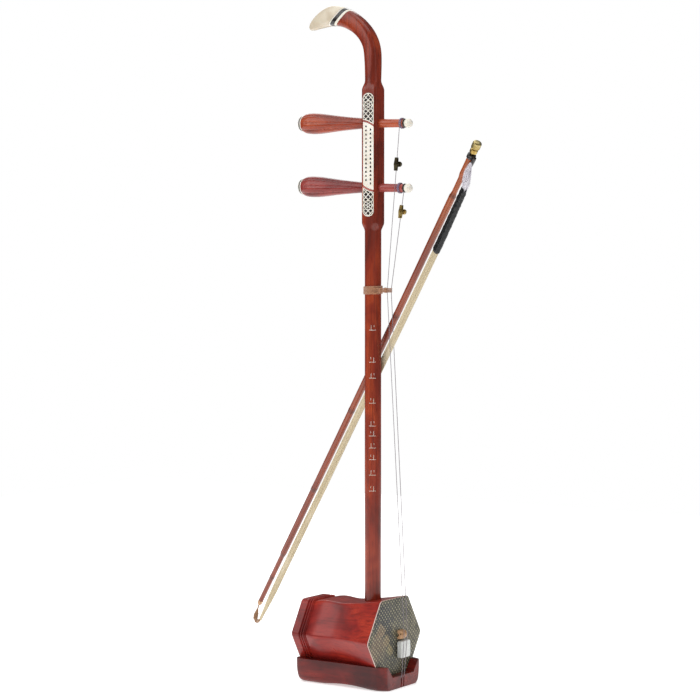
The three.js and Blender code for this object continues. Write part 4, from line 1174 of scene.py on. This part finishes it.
def base_plan(z, narrow):
    half = BASE_HALF_WIDTH - narrow
    nose = BASE_HALF_WIDTH - narrow * 0.8
    front = BASE_FRONT_Y + narrow * 0.15
    rear = BASE_REAR_Y - narrow * 0.5
    side = [
        (nose - 12, front), (nose - 7.6, front), (nose - 5.6, front + 0.6),
        (nose - 3.8, front + 3), (nose - 1, front + 9),
        (nose - 0.2, front + 15), (half - 1.2, front + 42), (half - 1.8, (front + rear) / 2 + 8),
        (half - 1, rear - 24), (half - 1.6, rear - 6), (half - 4.4, rear - 1.2), (half - 8, rear),
    ]
    outline = smooth_path(side, 5)
    outline += [(-x, y) for x, y in reversed(outline)]
    return [(x, y, z) for x, y in outline]


def arch_cutter(side):
    """The shallow arch cut under one long side of the base."""
    near, far = side * ARCH_INNER_X, side * (BASE_HALF_WIDTH + 5)
    left, right = min(near, far), max(near, far)
    rings = []
    for i in range(25):
        y = ARCH_FROM_Y + ARCH_LENGTH * i / 24
        rise = ARCH_RISE * math.sin(math.pi * i / 24) ** 0.8 if 0 < i < 24 else 0.0
        rings.append([(left, y, -2), (right, y, -2), (right, y, rise + 0.01), (left, y, rise + 0.01)])
    return loft(rings)


def string_foot_x(side):
    return STRING_FOOT_X + side * STRING_FOOT_SPREAD


def build_base(wood):
    levels = smooth_path([(0, 8), (1.4, 5), (5, 2.3), (11, 0.8), (18, 0.1), (BASE_TOP_Z, 0)], 4)
    body = loft([base_plan(z, max(narrow, 0)) for z, narrow in levels])
    inner = [(y, high, wide) for y, high, wide in smooth_path(BOX_STATIONS[1:-1], 4)]
    grown = [(SKIN_FRONT_Y - 0.6, 46.2, 57.3), *inner, (BOX_REAR_Y + 0.5, 39.2, 45.6),
             (RIM_END_Y + 5, 39.4, 45.8)]
    cradle = loft([hexagon_ring(y, high + GAP * 1.5, wide + GAP * 2) for y, high, wide in grown])
    window = prism([(-22.5, 14.4), (22.5, 14.4), (33.5, BASE_TOP_Z + 2), (-33.5, BASE_TOP_Z + 2)],
                   BASE_FRONT_Y - 3, -29, "xz")
    cuts = [cradle, window, arch_cutter(-1), arch_cutter(1)]
    for side in (-1, 1):
        cuts.append(block((1.9, 8, 40), (string_foot_x(side), BASE_FRONT_Y, 10)))
        cuts.append(block((1.9, 14, 12), (string_foot_x(side), -34, 3)))
    cuts.append(block((18, 16, 24), (STRING_FOOT_X, -26, -1)))
    screw_hole = turned([(0, -1), (4.6, -1), (4.6, 5.1), (2.3, 5.1), (2.3, 30), (0, 30)], 32)
    cuts.append(moved(screw_hole, Matrix.Translation((0, BASE_SCREW_Y, 0))))
    cuts.append(turned(rod(NECK_RADIUS + GAP, NECK_FOOT_Z - GAP, 60), 48))
    piece("base_wood", body, wood, "instrument", "red_wood", ("base",), cuts=cuts, angle=40, bevel=0.5)


# ---- strings and what holds them ----------------------------------------------------------------
TUNER_HEIGHTS = {"inner": 603, "outer": 549}


def string_route(side, peg):
    """The string's corner points, from its peg to the anchor pin."""
    foot = string_foot_x(side)
    winding_y = COIL_FROM[peg] + 1
    peg_z = PEG_HEIGHTS[peg]
    clear = PEG_SHAFT_RADIUS + 1.3 + STRING_RADIUS + 0.15
    return [
        (side * clear, winding_y, peg_z + winding_y * math.tan(PEG_TILT)),
        (side * 4.2, -22.3, QIANJIN_Z),
        (BRIDGE_AT[0] + side * STRING_SPREAD, BRIDGE_TOP_Y, BRIDGE_AT[1]),
        (foot, BASE_FRONT_Y - 0.3, 15),
        (foot, BASE_FRONT_Y + 1.4, 10),
        (foot, BASE_FRONT_Y + 5.5, 5.6),
        (foot, -28.2, 5.6),
    ]


def route_point(route, z):
    for upper, lower in zip(route, route[1:]):
        if lower[2] <= z:
            share = (upper[2] - z) / (upper[2] - lower[2])
            return Vector(upper).lerp(Vector(lower), share)
    return Vector(route[-1])


def build_strings(steel, dark_brass, gold):
    for name, side, peg, finish, slot in (("inner", -1, "upper_peg", dark_brass, "dark_metal"),
                                          ("outer", 1, "lower_peg", gold, "brass")):
        route = string_route(side, peg)
        start = Vector(route[0])
        hook = [start + Vector((-side * 0.35, 0.1, 0.9)), start]
        piece(name + "_string_wire", tube(hook + route[1:], WIRE_RADIUS, 10), steel, "instrument",
              "string_steel", (name + "_string",), angle=60)
        build_tuner(name + "_tuner", route, TUNER_HEIGHTS[name], finish, slot)


def build_tuner(name, route, z, finish, slot):
    upward = (Vector(route[0]) - Vector(route[1])).normalized()
    spin = Vector((0, 0, 1)).rotation_difference(upward).to_matrix().to_4x4()
    matrix = Matrix.Translation((route_point(route, z) + Vector((0, NECK_Y, 0))) * MM) @ spin
    near = STRING_RADIUS + GAP + 0.2
    beside = -1.7
    half = 7.6
    right = [(1.2, -half), (1.7, -half + 0.5), (1.9, -4), (2.6, 0), (1.9, 4), (1.7, half - 0.5),
             (1.2, half)]
    outline = [(y + beside + 0.7, z) for y, z in right + [(-x, y) for x, y in reversed(right)]]
    plate = prism(outline, -near - 3, -near, "yz")
    along_x = Matrix.Translation((0, beside, 0)) @ Matrix.Rotation(math.pi / 2, 4, "Y")
    bore = moved(turned(rod(1.05, -6, 2), 24), along_x)
    made = bare_object(name + "_clip_metal", plate, matrix)
    slit = block((1.2, 0.7, 2 * half + 2), (-near, beside + 0.7, 0))
    carve(made, (bore, slit), matrix)
    finish_object(made, finish, "instrument", (name + "_clip",), bevel=0.25)

    screw = [(0, -near - 2.8), (0.75, -near - 2.8), (0.8, near), (1.6, near + 0.2), (2.7, near + 0.2),
             (3, near + 0.6), (3, near + 3.3), (2.7, near + 3.7), (1.6, near + 3.8), (0, near + 3.8)]

    def ribbed(turn, z):
        return 1 + (0.05 * math.cos(24 * turn) if near + 0.3 < z < near + 3.6 else 0)

    knob = moved(turned(screw, 72, shape=ribbed), along_x)
    piece(name + "_knob", knob, finish, name + "_screw", slot, (name + "_screw",), matrix, bevel=0.12)


def build_qianjin(cord):
    """Cord wound round the neck, then out and round both strings."""
    shapes = []
    radius = 0.86
    run = NECK_RADIUS + GAP + radius * 0.8
    reach, front = 5.65, -20.6  # the loop's half width and its far end round the strings
    turns, steps = 6, 40
    path = []
    for i in range(turns * steps + 1):
        turn = 2 * math.pi * i / steps
        z = QIANJIN_Z - 4.6 + 9.2 * i / (turns * steps)
        path.append((run * math.cos(turn), run * math.sin(turn), z))
    shapes.append(tube(path, radius, 10))
    for level in (-1.75, 0, 1.75):
        bend = [(x, front + (y - front) * 0.62) for x, y in circle((0, front), reach, 18, 180, 180)]
        path = [(-reach, -9.2), *bend, (reach, -9.2)]
        shapes.append(tube([(x, y, QIANJIN_Z + level) for x, y in path], radius * 0.9, 10))
    for side in (-1, 1):
        wrap = []
        for i in range(31):
            turn = 2 * math.pi * i / 10
            wrap.append((side * reach + 1.1 * math.cos(turn), -12.6 - 2.2 * i / 30,
                         QIANJIN_Z + 2.9 * math.sin(turn)))
        shapes.append(tube(wrap, 0.5, 8))
    piece("qianjin_cord", merged(*shapes), cord, "instrument", "cord", ("qianjin_loop",), angle=60)


BRIDGE_HALF_HEIGHT = 5.4
BRIDGE_HALF_WIDTH = 6.4


def build_bridge(wood, padding):
    """A small domed block with an arch under it, an eye through it and a notch for each string."""
    back = SKIN_FRONT_Y - GAP
    top = BRIDGE_TOP_Y + STRING_RADIUS + GAP
    rings = []
    for i in range(25):
        across = BRIDGE_HALF_WIDTH * math.sin(math.pi * (i / 24 - 0.5))
        reach = max(0.0, 1 - (abs(across) / (BRIDGE_HALF_WIDTH + 0.15)) ** 5) ** 0.4
        tall = BRIDGE_HALF_HEIGHT * (0.8 + 0.2 * reach)
        ring = []
        for k in range(41):
            turn = math.pi * (k / 40 - 0.5)
            out = back - (back - top) * max(reach, 0.3) * math.cos(turn) ** 0.8
            ring.append((BRIDGE_AT[0] + across, out, BRIDGE_AT[1] + tall * math.sin(turn)))
        rings.append(ring)
    turn_to_x = Matrix.Rotation(math.pi / 2, 4, "Y")

    def across_hole(y, z, radius):
        across = Matrix.Translation((BRIDGE_AT[0], y, z)) @ turn_to_x
        return moved(turned(rod(radius, -10, 10), 32), across)

    cuts = [across_hole(back, BRIDGE_AT[1], 2), across_hole(top + 2.6, BRIDGE_AT[1] + 1.2, 1)]
    for side in (-1, 1):
        notch = turned(rod(STRING_RADIUS + 0.2, -10, 10), 16)
        place = Matrix.Translation((BRIDGE_AT[0] + side * STRING_SPREAD, top - 0.35, BRIDGE_AT[1]))
        cuts.append(moved(notch, place))
    piece("bridge_wood", loft(rings), wood, "instrument", "bamboo", ("bridge",), cuts=cuts,
          angle=50, bevel=0.2)

    low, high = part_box("damper_pad")
    size = [(high[k] - low[k]) / MM for k in range(3)]
    centre = [(high[k] + low[k]) / 2 / MM for k in range(3)]
    centre[1] -= NECK_Y
    rings = []
    for i in range(17):
        share = 2 * i / 16 - 1
        pull = (1 - abs(share) ** 9) ** (1 / 9) if abs(share) < 1 else 0.86
        ring = []
        for k in range(56):
            turn = 2 * math.pi * k / 56
            c, s = math.cos(turn), math.sin(turn)
            corner = (abs(c) ** 9 + abs(s) ** 9) ** (-1 / 9)
            wobble = 1 + 0.012 * math.sin(5 * turn + 4 * share) + 0.01 * math.sin(9 * share + turn)
            reach = max(pull, 0.86) * corner * wobble
            ring.append((centre[0] + size[0] / 2 * c * reach * 0.995,
                         centre[1] + size[1] / 2 * s * reach * 0.99,
                         centre[2] + size[2] / 2 * share * 0.99))
        rings.append(ring)
    pad = piece("damper_felt", loft(rings), padding, "instrument", "felt", ("damper_pad",), angle=60)


# ---- bow ----------------------------------------------------------------------------------------
BOW_YAW = math.radians(-114)
BOW_PITCH = math.radians(49.9)
BOW_CROSSING = Vector((1.4, -24.8, 396.8))
HAIR_TIP_Z = -476
STICK_TIP_Z = -468
STICK_END_Z = 249.6
STICK_OFFSET = (10, 25.8)
STICK_BEND = 0.08
STICK_RADIUS = 3.9
STICK_STEP = 0.9  # how much thinner the stick is beyond its thick part
COLLAR_RISE = 0.3
THICK_FROM_Z = -378
THICK_TO_Z = 196
FERRULE_FROM_Z = 228
SLEEVE_FROM = 138
SLEEVE_TO = 226
SLEEVE_HALF_WIDTH = 5.9
SLEEVE_NARROWING = 1.2
SLEEVE_HALF_THICKNESS = 3.3
HAIR_HALF_WIDTH = 5.2
HAIR_STRANDS = 130
LOOSE_STRANDS = 150
BAMBOO_NODES = [-424, THICK_FROM_Z - 3, -262, -128, 22, THICK_TO_Z + 3]


def bow_matrix():
    level = math.cos(BOW_PITCH)
    run = Vector((level * math.cos(BOW_YAW), level * math.sin(BOW_YAW), math.sin(BOW_PITCH)))
    flat = Vector((-run.y, run.x, 0)).normalized()
    wide = run.cross(flat)
    columns = Matrix((flat, wide, run)).transposed().to_4x4()
    return Matrix.Translation((BOW_CROSSING + Vector((0, NECK_Y, 0))) * MM) @ columns


def stick_centre(z):
    """The stick bends a little towards the hair in its middle."""
    share = max(0, min(1, (z - STICK_TIP_Z) / (STICK_END_Z - STICK_TIP_Z)))
    near = 1 - STICK_BEND * math.sin(math.pi * share)
    return (STICK_OFFSET[0] * near, STICK_OFFSET[1] * near, z)


def stick_radius(z):
    """Thickest between two joints of the cane, with a low collar at every joint."""
    upper = smoothstep(z, THICK_TO_Z, THICK_TO_Z + 6)
    lower = 1 - smoothstep(z, THICK_FROM_Z - 6, THICK_FROM_Z)
    ferrule = smoothstep(z, FERRULE_FROM_Z - 6, FERRULE_FROM_Z)
    collar = sum(math.exp(-(((z - node) / 2.2) ** 2)) for node in BAMBOO_NODES)
    return STICK_RADIUS - STICK_STEP * (upper - ferrule) - STICK_STEP * lower + COLLAR_RISE * collar


def bow_piece(name, shape, material, body, slot, stands_for=(), **finish):
    piece(name, shape, material, body, slot, stands_for, bow_matrix(), **finish)


def build_stick(cane):
    rings = []
    steps = 260
    for i in range(steps + 1):
        z = STICK_TIP_Z + (STICK_END_Z - STICK_TIP_Z) * i / steps
        x, y, _ = stick_centre(z)
        radius = stick_radius(z)
        rings.append(oval(x, y, z, radius, radius, 24))
    bow_piece("bow_stick_cane", loft(rings), cane, "bow", "bamboo", ("bow_stick",), angle=60)


def hair_narrow(z):
    return 0.36 + 0.64 * smoothstep(z, HAIR_TIP_Z, HAIR_TIP_Z + 60)


def build_hair(hair, ends_hair):
    shapes = []
    z_end = SLEEVE_FROM + 6
    core = []
    for i in range(41):
        z = HAIR_TIP_Z + (z_end - HAIR_TIP_Z) * i / 40
        core.append(oval(0, 0, z, 0.3, HAIR_HALF_WIDTH * hair_narrow(z), 16))
    shapes.append(loft(core))
    steps = 44
    for i in range(HAIR_STRANDS):
        share = 2 * (i % 44) / 43 - 1
        depth = (i // 44 - 1) * 0.34
        phase, sway = RANDOM.uniform(0, 6.28), RANDOM.uniform(0.04, 0.2)
        path = []
        for k in range(steps + 1):
            z = HAIR_TIP_Z + 0.5 + (z_end - HAIR_TIP_Z - 1) * k / steps
            y = (HAIR_HALF_WIDTH + 0.15) * hair_narrow(z) * share + sway * math.sin(z / 47 + phase)
            x = depth * (1.7 if z < -436 else 1) + 0.5 * sway * math.sin(z / 31 + phase)
            path.append((x, y, z))
        shapes.append(tube(path, 0.14 + 0.04 * RANDOM.random(), 4))
    bow_piece("bow_hair_strands", merged(*shapes), hair, "bow", "horsehair", ("bow_hair",), angle=80)

    shapes = []
    ends = [(0.3, 1.8, SLEEVE_TO - 5), (0.5, 3.4, SLEEVE_TO + 4), (1.0, 6.6, SLEEVE_TO + 11),
            (1.8, 10.4, SLEEVE_TO + 19), (3.4, 14.2, SLEEVE_TO + 26)]
    spine = smooth_path(ends, 8)
    for _ in range(LOOSE_STRANDS):
        offset_x, offset_y = RANDOM.uniform(-1.5, 1.5), RANDOM.triangular(-3.6, 3.6)
        phase = RANDOM.uniform(0, 6.28)
        path = []
        for k, (x, y, z) in enumerate(spine):
            share = k / (len(spine) - 1)
            loose = 0.9 + 1.3 * math.sin(math.pi * share) - 0.6 * share
            path.append((x + offset_x * loose + 0.35 * math.sin(z / 5 + phase),
                         y + offset_y * loose + 0.3 * math.sin(z / 6 + 2 * phase), z))
        shapes.append(tube(path, 0.17, 4))
    bow_piece("hair_end_strands", merged(*shapes), ends_hair, "bow", "horsehair",
              ("hair_end_bundle",), angle=80)


def build_sleeve(tape):
    """Tape wrapped over the hair, creased where it bends and pinched at its upper end."""
    rings = []
    steps, sides = 90, 40
    for i in range(steps + 1):
        share = i / steps
        z = SLEEVE_FROM + (SLEEVE_TO - SLEEVE_FROM) * share
        centre_y = 1.8 * share * share
        ends = 1 - 0.25 * (1 - smoothstep(i, 0, 3)) - 0.12 * smoothstep(i, steps - 4, steps)
        ring = []
        for k in range(sides):
            turn = 2 * math.pi * k / sides
            crease = 0.3 * share * math.sin(z * 1.1 + 2.2 * math.sin(2 * turn + z * 0.2))
            crease += 0.16 * math.sin(z * 0.45 + 3 * turn)
            wide = (SLEEVE_HALF_WIDTH - SLEEVE_NARROWING * share + crease) * ends
            thick = (SLEEVE_HALF_THICKNESS + 0.6 * crease) * ends
            ring.append((thick * math.cos(turn), centre_y + wide * math.sin(turn), z))
        rings.append(ring)
    bow_piece("hair_sleeve_tape", loft(rings), tape, "bow", "black_sleeve", ("hair_sleeve",), angle=60)


# The tie between the stick's end and the hair's end: share of the way to the stick, height, radius.
TIE_STATIONS = [
    (1, -477.2, 0.9),
    (0.93, -481.5, 0.8),
    (0.86, -485.5, 1.9),
    (0.78, -489.5, 2.8),
    (0.66, -492.2, 2.7),
    (0.52, -492, 1.6),
    (0.37, -489.4, 2.1),
    (0.21, -484.6, 2.0),
    (0.06, -478.4, 1.2),
]


def build_bow_tip(cane_end, cord):
    x, y, _ = stick_centre(STICK_TIP_Z)
    low = STICK_TIP_Z - 8
    profile = [(0, low), (1.9, low + 0.2), (2.6, low + 1), (3.15, low + 3), (3.2, low + 6),
               (3.0, low + 7.4), (0, low + 7.7)]
    cap = moved(turned(smooth_profile(profile), 40), Matrix.Translation((x, y, 0)))
    bow_piece("bow_tip_wood", cap, cane_end, "bow", "bamboo", ("bow_tip_cap",), angle=50)
    across, along_width = STICK_OFFSET
    tie = smooth_path([(across * share, along_width * share, z, r) for share, z, r in TIE_STATIONS], 6)
    sizes = [station[3] for station in tie]

    def thickness(share):
        return sizes[round(share * (len(sizes) - 1))]

    shapes = [tube([station[:3] for station in tie], thickness, 16)]
    shapes.append(coil_round(tie, 15, 27, 5))
    shapes.append(coil_round(tie, 33, 43, 4))
    bow_piece("hair_tip_cord", merged(*shapes), cord, "bow", "cord", ("hair_tip_knot",), angle=60)


def coil_round(stations, start, end, turns):
    """Thread wound round part of a smooth path whose stations end in a radius."""
    normal = Vector((STICK_OFFSET[1], -STICK_OFFSET[0], 0)).normalized()
    path = []
    count = turns * 14
    for i in range(count + 1):
        place = start + (end - start) * i / count
        k = int(place)
        here = Vector(stations[k][:3]).lerp(Vector(stations[k + 1][:3]), place - k)
        run = (Vector(stations[k + 1][:3]) - Vector(stations[k][:3])).normalized()
        radius = stations[k][3] + (stations[k + 1][3] - stations[k][3]) * (place - k)
        turn = 2 * math.pi * i / 14
        out = normal * math.cos(turn) + run.cross(normal) * math.sin(turn)
        path.append(here + out * (radius + 0.1))
    return tube(path, 0.38, 6)


def smooth_profile(profile):
    """A turning profile with its points on a smooth curve between the two poles."""
    inner = smooth_path(profile, 4)
    middle = [(max(radius, 0.0), z) for radius, z in inner[1:-1]]
    return [(0.0, inner[0][1]), *middle, (0.0, inner[-1][1])]


# The spur under the frog's ring: height from the stick's end, half thickness and drop below it.
SPUR_HALF_WIDTH = 2.4
SPUR_STATIONS = [(-9, 0.5, -5.6), (-8.4, 1.0, -5.8), (-5, 1.4, -6.0), (-1, 1.75, -6.2),
                 (3, 1.9, -6.2), (5.2, 1.7, -6.1), (5.6, 1.2, -6.0)]


def build_frog(dark):
    x, y, _ = stick_centre(STICK_END_Z)
    ring = [(1.9, 0.6), (4.6, 0.6), (4.9, 0.9), (4.9, 2.9), (4.65, 3.3), (4.9, 3.7), (4.9, 5.4),
            (4.6, 5.7), (1.9, 5.7)]
    collar = turned(ring, 56, loop=True)
    collar = moved(collar, Matrix.Translation((x, y, STICK_END_Z)))
    rings = []
    for z, thick, drop in SPUR_STATIONS:
        rings.append(oval(x, y + drop, STICK_END_Z + z, SPUR_HALF_WIDTH, thick, 28))
    spur = loft(rings)
    bow_piece("frog_horn", merged(collar, spur), dark, "frog", "black_horn", ("bow_frog",), angle=50)


def build_screw(gold, knurled):
    x, y, _ = stick_centre(STICK_END_Z)
    start = STICK_END_Z + 8.2
    place = Matrix.Translation((x, y, 0))
    shank = [(0, STICK_END_Z + GAP), (1.5, STICK_END_Z + GAP), (1.5, start), (4.1, start),
             (4.4, start + 0.3), (4.4, start + 4.7), (4, start + 5.1), (3.7, start + 5.5),
             (3.8, start + 5.9), (3.8, start + 6.1), (0, start + 6.1)]
    bow_piece("screw_ferrule", moved(turned(shank, 56), place), gold, "bow_screw", "brass",
              bevel=0.15)

    def knurl(turn, z):
        if z < start + 6.8 or z > start + 12.8:
            return 1
        wave = math.sin(14 * turn + z * 2.4) * math.sin(14 * turn - z * 2.4)
        return 1 + 0.045 * abs(wave) - 0.02

    body = [(0, start + 6.1), (4.6, start + 6.1), (5, start + 6.5)]
    body += [(5.05, start + 6.8 + 6 * i / 28) for i in range(29)]
    body += [(4.9, start + 13.3), (4.5, start + 13.9), (3.6, start + 14.3), (2, start + 14.5),
             (0, start + 14.5)]
    bow_piece("screw_knob", moved(turned(body, 168, shape=knurl), place), knurled, "bow_screw",
              "brass", ("bow_screw",), angle=50)


# ---- everything together ------------------------------------------------------------------------
build_camera()
build_stage()

neck_wood = varnished_wood("neck_varnish", 2, rgb(84, 24, 14), rgb(134, 44, 24), rgb(172, 70, 36), 26)
# The box varnish gets painted groove shade at the GROOVES places.
box_wood = varnished_wood("box_varnish", 1, rgb(96, 18, 16), rgb(144, 34, 28), rgb(176, 54, 36),
                          34, 0.35, GROOVES, 0.3)
base_wood = varnished_wood("base_varnish", 1, rgb(54, 12, 12), rgb(100, 22, 18), rgb(138, 36, 26),
                           30, 0.25, (), 0.3)
upper_wood = varnished_wood("upper_peg_varnish", 2, rgb(110, 36, 18), rgb(160, 62, 34),
                            rgb(190, 92, 58), 40)
lower_wood = varnished_wood("lower_peg_varnish", 2, rgb(96, 28, 28), rgb(142, 50, 46),
                            rgb(172, 78, 70), 40)
white_trim = ivory("white_trim", rgb(246, 242, 232), rgb(222, 214, 196))
edge_trim = ivory("edge_trim", rgb(226, 204, 196), rgb(196, 160, 150))
cap_ivory = ivory("cap_ivory", rgb(222, 212, 192), rgb(194, 178, 152), 34)
horn = black_horn("dark_horn")
ground = black_horn("inlay_ground")
cane = bamboo("bow_cane")
gold = metal("gold_brass", rgb(216, 190, 120), rgb(150, 120, 60), 0.22, 0.34)
pale_brass = metal("pale_brass", rgb(214, 200, 150), rgb(168, 146, 90), 0.28, 0.4)
old_metal = metal("old_metal", rgb(104, 96, 72), rgb(56, 50, 38), 0.35, 0.5)
steel = wound_string("string_winding")
winding = twisted_cord("peg_winding", rgb(150, 122, 150), rgb(70, 44, 66), 900)
skin = snakeskin("python_skin")
tan_cord = twisted_cord("tan_cord", rgb(196, 142, 104), rgb(132, 84, 58))
tip_cord = twisted_cord("tip_cord", rgb(190, 146, 104), rgb(116, 76, 48), 900)
pad_felt = felt("pad_felt")
hair = horsehair("bow_horsehair", rgb(176, 158, 122), rgb(222, 208, 176), rgb(236, 228, 208))
white_hair = horsehair("loose_horsehair", rgb(206, 200, 212), rgb(240, 236, 242), rgb(252, 250, 252))
tape = black_tape("black_tape")
pink_wood = varnished_wood("border_varnish", 1, rgb(150, 66, 58), rgb(190, 98, 88),
                           rgb(214, 130, 116), 120)
light_wood = varnished_wood("bridge_varnish", 2, rgb(166, 122, 84), rgb(206, 164, 124),
                            rgb(228, 192, 156), 90, 0.2)

build_neck(neck_wood, white_trim, horn, cap_ivory)
build_position_marks(white_trim)
build_lattices(white_trim, ground, pink_wood)
build_plaque(white_trim, ground)
for peg, peg_wood in (("upper_peg", upper_wood), ("lower_peg", lower_wood)):
    build_peg(peg, PEG_HEIGHTS[peg], peg_wood, white_trim, horn, winding)
build_sound_box(box_wood, edge_trim, skin)
build_rim(box_wood, base_wood)
build_base(base_wood)
build_strings(steel, old_metal, gold)
build_qianjin(tan_cord)
build_bridge(light_wood, pad_felt)
build_stick(cane)
build_hair(hair, white_hair)
build_sleeve(tape)
build_bow_tip(light_wood, tip_cord)
build_frog(horn)
build_screw(gold, pale_brass)
keep_node("base_screw", gold, bevel=0.3)
keep_node("string_anchor_pin", gold, bevel=0.2)
